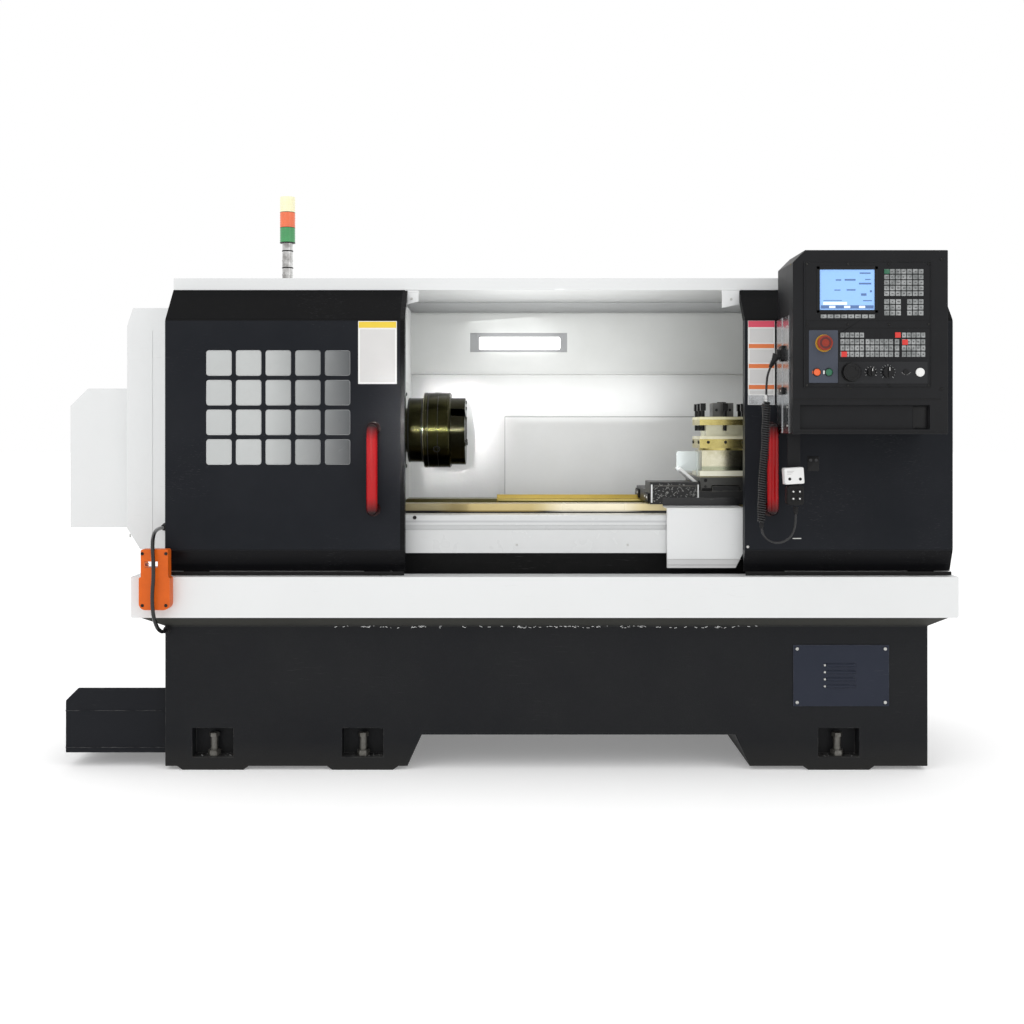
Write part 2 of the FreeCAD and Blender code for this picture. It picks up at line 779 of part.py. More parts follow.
def screw_cover():
    lip = saddle_front - sheet_wall
    face = cover_front + cover_step
    groove_top = cover_high - cover_round
    groove_low = groove_top - cover_groove
    groove_back_y = face + cover_step
    foot = bed_front + bed_recess
    wall = cover_sheet
    body = Prism("YZ", [
        (lip, cover_high), (face, cover_high), (face, groove_top), (groove_back_y, groove_top),
        (groove_back_y, groove_low), (cover_front, groove_low), (cover_front, cover_low),
        (foot, cover_low), (foot, cover_low + wall), (cover_front + wall, cover_low + wall),
        (cover_front + wall, groove_low - wall), (groove_back_y + wall, groove_low - wall),
        (groove_back_y + wall, groove_top + wall), (face + wall, groove_top + wall),
        (face + wall, cover_high - wall), (lip, cover_high - wall)],
        lug_left - cover_over, lug_right + lug_long + cover_over)
    body.fillet(cover_round / 2, (face, cover_high))
    body.fillet(cover_round / 2 - wall, (face + wall, cover_high - wall))
    return body


# ---------------------------------------------------------------- headstock and drive

def headstock_casting():
    top = way_top + head_high
    block = box((bed_left, head_right), (head_front, head_back), (way_top, top))
    gearcase = box((bed_left + head_wall, head_right - head_wall),
                   (head_front + bed_side, head_back - bed_side),
                   (way_top + head_wall, top - bed_end))
    bore = rod("X", bed_left, head_right, spindle_radius + pass_gap, spindle_line)
    race = bearing_radius + shaft_play
    seats = [rod("X", left, left + bearing_wide, race, spindle_line)
             for left in (bed_left, head_right - bearing_wide)]
    return cut(block, gearcase, bore, *seats)


def spindle_bearings():
    inner = spindle_radius + shaft_play
    rings = []
    for left in (bed_left, head_right - bearing_wide):
        right = left + bearing_wide
        rings.append(turned("X", [(left, inner), (right, inner), (right, bearing_radius),
                                  (left, bearing_radius)], spindle_line))
    return group(*rings)


nose_boss = cell("nose_boss", 75)
tail_radius = cell("tail_radius", 47)


def spindle():
    shoulder = pulley_left - base_wall
    boss = head_right + 2
    return turned("X", [
        (spindle_tail, spindle_bore), (spindle_tail, tail_radius), (shoulder, tail_radius),
        (shoulder, spindle_radius), (boss, spindle_radius), (boss, nose_boss),
        (nose_left, nose_boss), (nose_left, nose_radius), (chuck_left, nose_radius),
        (chuck_left, spindle_bore)], spindle_line)


def pulley(bore, radius, centre):
    """A flat-belt pulley with a flange at each end."""
    left, right = pulley_left, pulley_left + pulley_wide
    seat_radius = radius - belt_thick * 0.67
    flange = belt_thick
    return turned("X", [
        (left, bore), (left, radius), (left + flange, radius), (left + flange, seat_radius),
        (right - flange, seat_radius), (right - flange, radius), (right, radius),
        (right, bore)], centre)


def main_motor():
    centre = (motor_y, motor_z)
    case = rod("X", motor_left, motor_left + motor_long, motor_radius, centre)
    foot = box((bed_left + bed_end, motor_left + motor_long - bed_end), (bed_back, motor_y),
               (motor_z - motor_radius - bed_end, motor_z))
    bore = rod("X", motor_left, motor_left + bed_end, motor_shaft + shaft_play, centre)
    return cut(fuse(case, foot), bore)


def motor_pulley():
    centre = (motor_y, motor_z)
    shaft = rod("X", pulley_left, motor_left + bed_end - 2, motor_shaft, centre)
    return fuse(shaft, pulley(size(motor_shaft) / 2, motor_pulley_radius, centre))


def radial_block(angle, along, wide, inner, outer):
    """A block across the spindle line, turned about it by an angle."""
    body = Prism("YZ", rectangle((-wide / 2, wide / 2), (inner, outer)), along[0], along[1])
    return place(body.body, (along[0], axis_y, spindle_z), turn((1, 0, 0), angle))


def chuck_body():
    bevel = chuck_radius - 5
    body = turned("X", [
        (chuck_left, spindle_bore), (chuck_left, chuck_radius), (chuck_right - 5, chuck_radius),
        (chuck_right, bevel), (chuck_right, spindle_bore)], spindle_line)
    keyways = [radial_block(120 * number, (chuck_right - key_deep, chuck_right), key_wide,
                            jaw_inner - jaw_step, chuck_radius + 1) for number in range(3)]
    return cut(body, *keyways)


def chuck_jaw(number):
    """A soft jaw: a turned sector with a flat crown, over a key that slides in the chuck."""
    angle = 120 * number
    span = (chuck_right + slide_play, chuck_right + slide_play + jaw_reach)
    ring = cut(rod("X", span[0], span[1], jaw_outer, spindle_line),
               rod("X", span[0], span[1], jaw_inner, spindle_line))
    sides = [radial_block(angle + lean, span, jaw_outer * 2 + 2, -jaw_outer - 1, jaw_gap)
             for lean in (-30, 30)]
    crown = radial_block(angle, span, jaw_outer * 2, jaw_flat, jaw_outer + 1)
    key = radial_block(angle, (chuck_right - key_deep + slide_play, span[0]),
                       key_wide - slide_play * 2, jaw_inner, jaw_outer - jaw_step / 2)
    return fuse(cut(ring, *sides, crown), key)


# ---------------------------------------------------------------- guards and doors

guard_bevel = cell("guard_bevel", 19)
guard_bevel_high = cell("guard_bevel_high", 58)
guard_slope = cell("guard_slope", 67)
belt_guard_back = cell("belt_guard_back", 390)


def belt_guard():
    def section(inset, right):
        left = belt_guard_left + inset
        low, high = belt_guard_low + inset, belt_guard_high - inset
        return [(left, belt_guard_low + guard_slope), (left + belt_guard_corner, low),
                (right, low), (right, high), (left + guard_bevel, high),
                (left, high - guard_bevel_high)]

    body = Prism("XZ", section(0, left_door_left), belt_guard_front, belt_guard_back)
    body.pocket([section(sheet_wall, left_door_left)], belt_guard_front + sheet_wall,
                belt_guard_back - sheet_wall)
    hole = rod("X", belt_guard_left, belt_guard_left + sheet_wall, tail_radius + pass_gap,
               spindle_line)
    return cut(body.body, hole)


def end_cover():
    def section(inset):
        left, high = end_cover_left + inset, end_cover_high - inset
        return [(left, end_cover_low + inset), (belt_guard_left, end_cover_low + inset),
                (belt_guard_left, high), (left + end_cover_corner, high),
                (left, high - end_cover_corner)]

    body = Prism("XZ", section(0), end_cover_front, end_cover_back)
    body.pocket([section(sheet_wall)], end_cover_front + sheet_wall, end_cover_back - sheet_wall)
    return body


def guard_front(left, right):
    """The fixed sheet behind a door, bent to the same lean."""
    return Prism("YZ", sheet_profile([
        (guard_face, tray_top), (guard_face, door_bend), (guard_face + door_lean, roof_low)],
        sheet_wall), left, right).body


def guard_end(left):
    """An upright wall across the machine that follows the lean of the doors."""
    back = back_face - sheet_wall
    return Prism("YZ", [
        (guard_face, tray_top), (guard_face, door_bend), (guard_face + door_lean, roof_low),
        (back, roof_low), (back, tray_top)], left, left + sheet_wall).body


def left_fixed_guard():
    walls = fuse(guard_front(left_door_left, partition_x), guard_end(left_door_left),
                 guard_end(partition_x))
    span = (partition_x, partition_x + sheet_wall)
    end = (left_door_left, left_door_left + sheet_wall)
    return cut(
        walls,
        box(span, (cover_front - pass_gap, bed_back + pass_gap), (tray_top, way_top + pass_gap)),
        box(span, (head_front - pass_gap, head_back + pass_gap),
            (way_top, way_top + head_high + pass_gap)),
        rod("X", end[0], end[1], spindle_radius + pass_gap, spindle_line),
        rod("X", end[0], end[1], motor_shaft + pass_gap, (motor_y, motor_z)))


def right_fixed_guard():
    return fuse(guard_front(right_guard_left, right_door_right),
                guard_end(right_door_right - sheet_wall))


def roof_cover():
    span = (left_door_left, right_door_right)
    front = door_face + door_lean
    pan = tray_shell(span, (front, back_face), (roof_low, roof_high), sheet_wall, ("z", 0))
    rail_y = front + door_deep - pass_gap - 2
    rail = box((span[0] + sheet_wall, span[1] - sheet_wall), (rail_y, rail_y + sheet_wall),
               (roof_low + sheet_wall, roof_high - sheet_wall))
    return fuse(pan, rail)


tongue_wide = cell("tongue_wide", 80)
tongue_inset = cell("tongue_inset", 90)


def sliding_door(left, right):
    """A folded door pan with skids below and guide tongues above."""
    top = roof_low - seat
    tuck = door_face + door_deep - sheet_wall * 2
    rear = door_face + door_deep
    pan = Prism("YZ", [
        (tuck, door_low), (door_face, door_low + lip_high), (door_face, door_bend),
        (door_face + door_lean, top), (rear + door_lean, top), (rear, door_bend),
        (rear, door_low)], left, right)
    pan.fillet(lip_round, (door_face, door_low + lip_high))
    pan.fillet(lip_round / 2, (door_face, door_bend))
    skin = door_face + sheet_wall
    clear = rear + lip_round
    pan.pocket([[
        (tuck + sheet_wall, door_low + sheet_wall), (skin, door_low + lip_high),
        (skin, door_bend), (skin + door_lean, top - sheet_wall),
        (clear + door_lean, top - sheet_wall), (clear, door_bend),
        (clear, door_low + sheet_wall)]], left + sheet_wall, right - sheet_wall)
    tongue_y = rear + door_lean - pass_gap * 3 - 1
    extras = []
    for middle in (left + tongue_inset, right - tongue_inset):
        span = (middle - tongue_wide / 2, middle + tongue_wide / 2)
        extras.append(box(span, (tongue_y, tongue_y + pass_gap),
                          (top - sheet_wall, top + tongue_high)))
        extras.append(box(span, (tuck, rear), (tray_top + seat, door_low + sheet_wall)))
    return pan.body, extras


def rounded_panes():
    """One rounded pane opening, repeated over the window in both directions."""
    tools = []
    for column in range(5):
        for line in range(4):
            x = pane_left + pane_pitch * column
            z = pane_low + pane_pitch * line
            tools.append(rounded_block((x, x + pane_wide), (door_face, door_face + sheet_wall),
                                       (z, z + pane_wide), pane_round))
    return tools


def rounded_block(x, y, z, radius):
    """A block whose four edges along Y are rounded."""
    cross = fuse(box((x[0] + radius, x[1] - radius), y, z),
                 box(x, y, (z[0] + radius, z[1] - radius)),
                 *[rod("Y", y[0], y[1], radius, (across, up))
                   for across in (x[0] + radius, x[1] - radius)
                   for up in (z[0] + radius, z[1] - radius)])
    return cross


def left_door():
    pan, extras = sliding_door(left_door_left, left_door_right)
    return cut(fuse(pan, *extras), *rounded_panes())


def right_door():
    pan, extras = sliding_door(right_door_left, right_door_right)
    return fuse(pan, *extras)


glass_border = cell("glass_border", 18)


def left_window():
    face = door_face + sheet_wall
    across = pane_left + pane_pitch * 4 + pane_wide
    up = pane_low + pane_pitch * 3 + pane_wide
    return box((pane_left - glass_border, across + glass_border), (face, face + glass_thick),
               (pane_low - glass_border, up + glass_border))


def door_handle(x):
    """A tube handle on two stubs, standing off the door."""
    line = door_face - handle_proud
    low, high = handle_low + handle_radius, handle_high - handle_radius
    foot = handle_radius + 5
    parts = [rod("Z", low, high, handle_radius, (x, line))]
    for up in (low, high):
        parts.append(ball((x, line, up), handle_radius))
        parts.append(rod("Y", line, door_face, handle_radius - 3, (x, up)))
        parts.append(rod("Y", door_face - 6, door_face, foot, (x, up)))
    return fuse(*parts)


def rear_panel():
    face = back_face - sheet_wall
    sheet_part = box((left_door_left + sheet_wall, right_door_right - sheet_wall),
                     (face, back_face), (tray_top, roof_low))
    hatch = rounded_block((hatch_left, hatch_right), (face - hatch_proud, face),
                          (hatch_low, hatch_high), lip_round / 2)
    return fuse(sheet_part, hatch)


def light_beam():
    pan = tray_shell((partition_x + sheet_wall, right_door_right - sheet_wall),
                     (beam_front, back_face - sheet_wall), (beam_low, beam_high), sheet_wall,
                     ("y", 1))
    return cut(pan, box((lamp_left, lamp_right), (beam_front, beam_front + sheet_wall),
                        (lamp_low, lamp_high)))


def work_lamp():
    rim = base_wall / 2
    return box((lamp_left - rim, lamp_right + rim),
               (beam_front + sheet_wall, beam_front + lamp_deep),
               (lamp_low - rim, lamp_high + rim))


# ---------------------------------------------------------------- carriage and tool post

def way_profile(front, back, top):
    """A slide's section that rides on the flat way and the raised rear way."""
    sole = way_top + slide_play
    return [(front, sole), (vee_middle - vee_half, sole), (vee_middle, sole + vee_rise),
            (vee_middle + vee_half, sole), (back, sole), (back, top), (front, top)]


def saddle():
    body = Prism("YZ", way_profile(saddle_front, saddle_back, saddle_top), saddle_left,
                 saddle_right)
    wing_top = way_top + wing_high
    nut_right = nut_left + nut_long
    parts = [
        box((saddle_left, wing_right), (saddle_front, bed_front + way_wide * 1.5),
            (saddle_top, wing_top)),
        box((post_x - tee_wide / 2, post_x + tee_wide / 2), (saddle_front + 5, saddle_back),
            (saddle_top, saddle_top + tee_deep)),
        box((nut_left, nut_right), (saddle_front, saddle_front + bracket_thick),
            (screw_z - nut_radius, saddle_top)),
        box((nut_left, nut_right), (screw_y, saddle_front + 1),
            (screw_z - nut_radius, screw_z + nut_radius)),
        rod("X", nut_left, nut_right, nut_radius, screw_line)]
    bore = rod("X", nut_left, nut_right, screw_radius + shaft_play, screw_line)
    return cut(fuse(body.body, *parts), bore)


def apron_cover():
    back = cover_front - sheet_wall

    def section(inset):
        left, right = apron_left + inset, apron_right - inset
        low, high = apron_low + inset, apron_high - inset
        return [(left, low), (right - apron_corner / 2, low), (right, low + apron_corner),
                (right, high), (left, high)]

    pan = Prism("XZ", section(0), apron_front, back)
    pan.pocket([section(sheet_wall)], apron_front + sheet_wall, back)
    deck = box((apron_left, apron_right), (apron_front, saddle_front),
               (apron_high - sheet_wall, apron_high))
    flange = box((apron_left, apron_right), (saddle_front - sheet_wall, saddle_front),
                 (apron_high - sheet_wall, way_top + saddle_thick / 2))
    return fuse(pan.body, deck, flange)


def cross_slide():
    top = post_base
    block = box((cross_left, cross_right), (cross_front, cross_back),
                (saddle_top + slide_play, top))
    half = tee_wide / 2 + slide_play
    groove = box((post_x - half, post_x + half), (cross_front, cross_back),
                 (saddle_top, saddle_top + tee_deep + 1))
    return cut(block, groove)


pivot_radius = cell("pivot_radius", 30)
pivot_deep = cell("pivot_deep", 40)


def tool_post_base():
    half = turret_half + post_block_inset
    plate_top = post_base + post_plate
    plate = box((cross_left, cross_right), (post_y - half, post_y + half),
                (post_base, plate_top))
    block_half = turret_half - post_block_inset
    block = box((post_x - block_half, post_x + block_half),
                (post_y - block_half, post_y + block_half), (plate_top, post_top))
    bore = rod("Z", post_top - pivot_deep, post_top, pivot_radius + shaft_play,
               (post_x, post_y))
    return cut(fuse(plate, block), bore)


def clamp_places():
    """The eight clamp screws stand over the middle of the tool slots."""
    reach = turret_half - tool_slot_deep / 2
    for across in (-reach, size(0), reach):
        for along in (-reach, size(0), reach):
            if across.value or along.value:
                yield post_x + across, post_y + along


def turret():
    def slab(half, low, high):
        return box((post_x - half, post_x + half), (post_y - half, post_y + half), (low, high))

    centre = (post_x, post_y)
    neck = post_top + slide_play
    plate_low = post_top + turret_neck
    parts = [
        rod("Z", neck - pivot_deep + 1, neck, pivot_radius, centre),
        rod("Z", neck, plate_low, turret_half - post_block_inset, centre),
        slab(turret_half, plate_low, slot_low),
        slab(turret_half - tool_slot_deep, slot_low, slot_high),
        slab(turret_half, slot_high, turret_high),
        slab(cap_half, turret_high, turret_high + cap_high)]
    holes = [rod("Z", slot_high, turret_high, clamp_radius + 0.5, place_of)
             for place_of in clamp_places()]
    return cut(fuse(*parts), *holes)


def clamp_screws():
    screws = []
    shank_top = turret_high + clamp_stand
    half = clamp_head / 2
    for x, y in clamp_places():
        shank = rod("Z", slot_high - clamp_reach, shank_top, clamp_radius, (x, y))
        head = box((x - half, x + half), (y - half, y + half),
                   (shank_top, shank_top + clamp_head_high))
        screws.append(fuse(shank, head))
    return group(*screws)


def tailstock_body():
    sole_top = way_top + tail_sole
    sole = Prism("YZ", way_profile(tail_front, tail_back, sole_top), tail_left, tail_right)
    web = box((tail_left, tail_right), (axis_y - tail_web / 2, axis_y + tail_web / 2),
              (sole_top, spindle_z))
    barrel = rod("X", tail_left, tail_right, barrel_radius, spindle_line)
    bore = rod("X", tail_left, quill_left + quill_long + 2, quill_radius + shaft_play,
               spindle_line)
    return cut(fuse(sole.body, web, barrel), bore)


def tailstock_quill():
    right = quill_left + quill_long
    return turned("X", [(quill_left - centre_long, 0), (quill_left, centre_radius),
                        (quill_left, quill_radius), (right, quill_radius), (right, 0)],
                  spindle_line)


# ---------------------------------------------------------------- cabinet and lamps

knuckle_radius = cell("knuckle_radius", 7)
hinge_pin = cell("hinge_pin", 3)
knuckle_long = cell("knuckle_long", 40)
hinge_inset = cell("hinge_inset", 120)
hinge_y = cabinet_back + 8
hinge_x = cabinet_right + knuckle_radius - 1
hinge_rows = [cabinet_low + hinge_inset, cabinet_high - hinge_inset - knuckle_long]


def electrical_cabinet():
    case = tray_shell((cabinet_left, cabinet_right), (back_face, cabinet_back),
                      (cabinet_low, cabinet_high), sheet_wall, ("y", 1))
    line = (hinge_x, hinge_y)
    parts = [case]
    for low in hinge_rows:
        leaf_low = low - knuckle_long
        parts.append(box((cabinet_right, cabinet_right + sheet_wall),
                         (cabinet_back - knuckle_long, hinge_y), (leaf_low, low - seat)))
        parts.append(rod("Z", leaf_low, low - seat, knuckle_radius, line))
        parts.append(rod("Z", leaf_low, low + knuckle_long, hinge_pin, line))
    return fuse(*parts)


def cabinet_door():
    pan = tray_shell((cabinet_left, cabinet_right),
                     (cabinet_back + seat, cabinet_back + cabinet_door_thick),
                     (cabinet_low, cabinet_high), sheet_wall, ("y", 0))
    line = (hinge_x, hinge_y)
    knuckles = [rod("Z", low, low + knuckle_long, knuckle_radius, line) for low in hinge_rows]
    bores = [rod("Z", low, low + knuckle_long, hinge_pin + shaft_play, line)
             for low in hinge_rows]
    relief = [box((cabinet_right - sheet_wall, cabinet_right),
                  (cabinet_back, hinge_y + knuckle_radius + 1),
                  (low - knuckle_long - 1, low)) for low in hinge_rows]
    return cut(fuse(pan, *knuckles), *bores, *relief)


beacon_foot = cell("beacon_foot", 10)


def beacon_stand_pole():
    centre = (beacon_x, beacon_y)
    top = roof_high + beacon_stand
    return fuse(rod("Z", roof_high, roof_high + beacon_foot, beacon_radius, centre),
                rod("Z", roof_high, top, beacon_pole, centre))


def beacon_lenses():
    low = roof_high + beacon_stand
    return group(*[rod("Z", low + beacon_tier * tier, low + beacon_tier * (tier + 1),
                       beacon_radius, (beacon_x, beacon_y)) for tier in range(3)])


# ---------------------------------------------------------------- control console

def front_outline(inset, low, corner):
    left, right = console_left + inset, console_right - inset
    high = console_high - inset
    return [(left, low), (right, low), (right, high), (left + corner, high),
            (left, high - corner)]


def control_places():
    """Where a stem passes the panel: place across, height and stem radius."""
    small = size(stem_radius) / 2
    return [(size(stop_x), size(stop_z), stem_radius), (jog_x, lower_row, stem_radius),
            (feed_stop_x, lower_row, small), (feed_start_x, lower_row, small),
            (feed_knob_x, lower_row, small), (speed_knob_x, lower_row, small)]


def control_box():
    wall = console_wall
    case = Prism("XZ", front_outline(0, console_low, console_corner), console_front,
                 console_back)
    case.pocket([front_outline(wall, console_split + wall, console_corner)],
                console_front + wall, console_back - wall)
    bezel = box((bezel_left, bezel_right), (bezel_face, console_front),
                (bezel_low, bezel_high))
    hanger = box((hanger_left, hanger_right), (pendant_back, pendant_back + sheet_wall),
                 (hanger_low, console_low))
    tools = [
        box((console_left + wall, console_right - wall),
            (console_front + drawer_deep + wall, console_back - wall),
            (console_low + wall, console_split - wall)),
        box((drawer_left, drawer_right), (console_front, console_front + drawer_deep),
            (drawer_low, drawer_high)),
        box((screen_left, screen_right), (bezel_face, bezel_face + screen_deep),
            (screen_low, screen_high))]
    for x, z, radius in control_places():
        tools.append(rod("Y", bezel_face, console_front + wall, size(radius) + 0.5, (x, z)))
    return cut(fuse(case.body, bezel, hanger), *tools)


def display_screen():
    return box((screen_left + seat, screen_right - seat),
               (bezel_face + screen_deep / 4, bezel_face + screen_deep),
               (screen_low + seat, screen_high - seat))


def knob(front, head, radius, stem, x, z):
    """A turned head on a stem, facing the operator."""
    bevel = 3
    return turned("Y", [
        (front, 0), (front, radius - bevel), (front + bevel, radius), (front + head, radius),
        (front + head, stem), (stem_tip, stem), (stem_tip, 0)], (x, z))


def side_profile():
    half = rail_thick / 2
    return Prism("XY", [
        (rail_face, rail_front), (console_left, rail_front), (console_left, console_back),
        (rail_face, console_back), (rail_face, groove_back), (rail_face + half, groove_back),
        (rail_face + half, groove_front), (rail_face, groove_front)], rail_low, rail_high)


def console_arm():
    span = (arm_left, arm_right)
    return fuse(box(span, (console_back, console_back + arm_thick), (arm_low, arm_high)),
                box(span, (console_back, arm_back), (roof_high, roof_high + arm_thick)))


pendant_round = cell("pendant_round", 9)


def pendant_body():
    return rounded_block((pendant_left, pendant_right), (pendant_front, pendant_back),
                         (pendant_low, pendant_high), pendant_round)


# ---------------------------------------------------------------- cords and loose fittings

# Each route is a list of points chosen by hand, from the exit onwards
LEAD = [(822, -585, 1268), (806, -586, 1240), (800, -588, 1196), (800, -588, 1152)]
CURL = [(800, -588, 1152), (800, -588, 1028), (786, -590, 904), (786, -590, 780)]
TAIL = [(786, -590, 780), (786, -590, 756), (800, -594, 734), (824, -600, 723),
        (850, -608, 727), (870, -614, 744), (880, -619, 770), (882, -620, 802),
        (882, -620, 833)]
GUARD_CABLE = [(-1075, -330, 752), (-1075, -385, 752), (-1073, -443, 752),
               (-1067, -503, 743), (-1060, -544, 716), (-1053, -557, 668),
               (-1053, -556, 612), (-1057, -555, 566), (-1057, -553, 526),
               (-1054, -551, 493), (-1050, -532, 461), (-1046, -500, 441),
               (-1042, -469, 438), (-1042, -440, 438)]


def cord(route, radius):
    tube = doc.addObject("Part::Feature", "cord")
    tube.Shape = bent_tube(route, radius.value)
    tube.Placement = FreeCAD.Placement()
    return tube


def cord_gland():
    """A screwed gland on the console's side, with a nozzle towards the first run."""
    collar = rail_face - gland_radius / 2
    body = fuse(rod("X", collar, rail_face, gland_radius, (gland_y, gland_z)),
                rod("X", collar - gland_radius / 2, collar, gland_radius / 1.4,
                    (gland_y, gland_z)))
    start, second = FreeCAD.Vector(*LEAD[0]), FreeCAD.Vector(*LEAD[1])
    way = (start - second).normalize()
    nozzle = doc.addObject("Part::Cone", "nozzle")
    bind(nozzle, "Radius1", lead_radius * 2)
    bind(nozzle, "Radius2", gland_radius / 1.6)
    bind(nozzle, "Height", gland_radius)
    nozzle.Placement = FreeCAD.Placement(start, FreeCAD.Rotation(FreeCAD.Vector(0, 0, 1), way))
    return fuse(body, nozzle)


def cable_hook():
    """The moulded tag that hangs on the tray's rim, with a slot through it."""
    shoulder = tray_top + 4
    step = 6
    body = Prism("XZ", [
        (hook_left, hook_low), (hook_right, hook_low), (hook_right, tray_top),
        (hook_right - step, shoulder), (hook_right - step, hook_high),
        (hook_left + step, hook_high), (hook_left + step, shoulder),
        (hook_left, tray_top)], tray_front - hook_thick, tray_front)
    body.fillet(lip_round / 2, (hook_left, hook_low), (hook_right, hook_low))
    body.fillet(step, (hook_left + step, hook_high), (hook_right - step, hook_high))
    slot = box((hook_slot_left, hook_slot_right), (tray_front - hook_thick, tray_front),
               (hook_slot_low, hook_slot_high))
    return cut(body.body, slot)


def coolant_tank():
    """A closed tank whose lid falls to the rear."""
    def section(inset, high):
        left = tank_left + inset
        return [(left, tank_low + inset), (base_left - inset, tank_low + inset),
                (base_left - inset, high), (left + tank_corner, high),
                (left, high - tank_corner)]

    body = Prism("XZ", section(0, tank_high), tank_front, tank_back)
    lid = Prism("YZ", [(tank_front, tank_high), (tank_back, tank_high - tank_fall),
                       (tank_back, tank_high)], tank_left, base_left)
    body.pocket([section(sheet_wall, tank_high - tank_fall - sheet_wall)],
                tank_front + sheet_wall, tank_back - sheet_wall)
    return cut(body.body, lid.body)


# ---------------------------------------------------------------- the machine

add("base_casting", base_casting())
add("levelling_bolts", levelling_bolts())
add("access_plate", access_plate())
add("drip_tray", drip_tray())
add("bed_casting", bed_casting())
add("z_ball_screw", z_ball_screw())
add("screw_cover", screw_cover())
add("headstock_casting", headstock_casting())
add("spindle_bearings", spindle_bearings())
add("spindle", spindle())
add("spindle_pulley", pulley(spindle_radius + shaft_play, pulley_radius, spindle_line))
add("main_motor", main_motor())
add("motor_pulley", motor_pulley())
add("chuck_body", chuck_body())
for number in range(3):
    add(f"chuck_jaw_{number + 1}", chuck_jaw(number))
add("belt_guard", belt_guard())
add("end_cover", end_cover())
add("left_fixed_guard", left_fixed_guard())
add("right_fixed_guard", right_fixed_guard())
add("roof_cover", roof_cover())
add("left_door", left_door())
add("left_window", left_window())
add("left_handle", door_handle(left_handle_x))
add("right_door", right_door())
add("right_handle", door_handle(right_handle_x))
add("rear_panel", rear_panel())
add("light_beam", light_beam())
add("work_lamp", work_lamp())
add("saddle", saddle())
add("apron_cover", apron_cover())
add("cross_slide", cross_slide())
add("tool_post_base", tool_post_base())
add("turret", turret())
add("clamp_screws", clamp_screws())
add("tailstock_body", tailstock_body())
add("tailstock_quill", tailstock_quill())
add("electrical_cabinet", electrical_cabinet())
add("cabinet_door", cabinet_door())
add("beacon_pole", beacon_stand_pole())
add("beacon_lenses", beacon_lenses())
add("control_box", control_box())
add("display_screen", display_screen())
add("side_profile", side_profile())
add("console_arm", console_arm())
add("emergency_stop", knob(control_front, stop_head, stop_radius, stem_radius, stop_x, stop_z))
add("jog_wheel", knob(control_front, jog_head, jog_radius, stem_radius, jog_x, lower_row))
add("feed_stop_button", knob(bezel_face - push_proud, push_head, push_radius, stem_radius / 2,
                             feed_stop_x, lower_row))
add("feed_start_button", knob(bezel_face - push_proud, push_head, push_radius, stem_radius / 2,
                              feed_start_x, lower_row))
add("feed_knob", knob(control_front + knob_back, knob_head, feed_knob_radius,
                      stem_radius / 2, feed_knob_x, lower_row))
add("speed_knob", knob(control_front + knob_back, knob_head, speed_knob_radius,
                       stem_radius / 2, speed_knob_x, lower_row))
add("pendant_body", pendant_body())
add("cord_gland", cord_gland())
add("pendant_lead", cord(LEAD, lead_radius))
add("pendant_curl", cord(CURL, curl_radius))
add("pendant_tail", cord(TAIL, lead_radius))
add("cable_hook", cable_hook())
add("guard_cable", cord(GUARD_CABLE, cable_radius))
add("coolant_tank", coolant_tank())

doc.recompute()
for thing in doc.Objects:
    if {"Invalid", "Error"} & set(thing.State):
        raise RuntimeError(f"{thing.Label} failed: {thing.State}")
for name, thing in nodes.items():
    if thing.Shape.isNull() or not thing.Shape.isValid():
        raise RuntimeError(f"{name} has no valid shape")

os.makedirs("parts", exist_ok=True)
for name, thing in nodes.items():
    thing.Shape.exportStep(f"parts/{name}.step")
print(len(nodes), "nodes written")
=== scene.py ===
"""A guarded flat-bed turning lathe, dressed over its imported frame.

Lengths are metres: +X points to the tailstock end, +Y to the rear and +Z up.
"""
import logging
import math
import random
from dataclasses import dataclass
from enum import Enum
from typing import Iterable, Optional, Union

import bmesh
import bpy
from mathutils import Matrix, Vector


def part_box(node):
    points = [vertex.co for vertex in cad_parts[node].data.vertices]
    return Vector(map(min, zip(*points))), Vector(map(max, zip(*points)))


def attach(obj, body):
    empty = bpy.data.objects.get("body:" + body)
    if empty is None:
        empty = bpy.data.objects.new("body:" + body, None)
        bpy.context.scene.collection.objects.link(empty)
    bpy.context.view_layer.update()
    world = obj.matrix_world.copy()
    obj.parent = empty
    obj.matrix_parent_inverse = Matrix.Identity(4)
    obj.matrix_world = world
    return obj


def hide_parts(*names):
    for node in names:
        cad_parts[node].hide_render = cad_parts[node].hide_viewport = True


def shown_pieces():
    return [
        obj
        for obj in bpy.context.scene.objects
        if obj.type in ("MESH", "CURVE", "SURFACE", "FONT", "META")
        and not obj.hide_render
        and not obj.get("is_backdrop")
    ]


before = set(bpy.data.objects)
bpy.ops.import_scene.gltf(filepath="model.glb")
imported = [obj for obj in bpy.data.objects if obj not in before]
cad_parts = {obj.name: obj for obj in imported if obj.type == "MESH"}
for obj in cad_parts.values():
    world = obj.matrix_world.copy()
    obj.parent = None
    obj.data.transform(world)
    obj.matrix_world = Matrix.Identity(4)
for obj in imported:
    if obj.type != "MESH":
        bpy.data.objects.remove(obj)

Point = tuple[float, float, float]
Colour = tuple[float, float, float]
Socket = Union[bpy.types.NodeSocket, float, Point]

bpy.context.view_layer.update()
LOG = logging.getLogger("lathe")


# ------------------------------------------------------------------ shader graphs

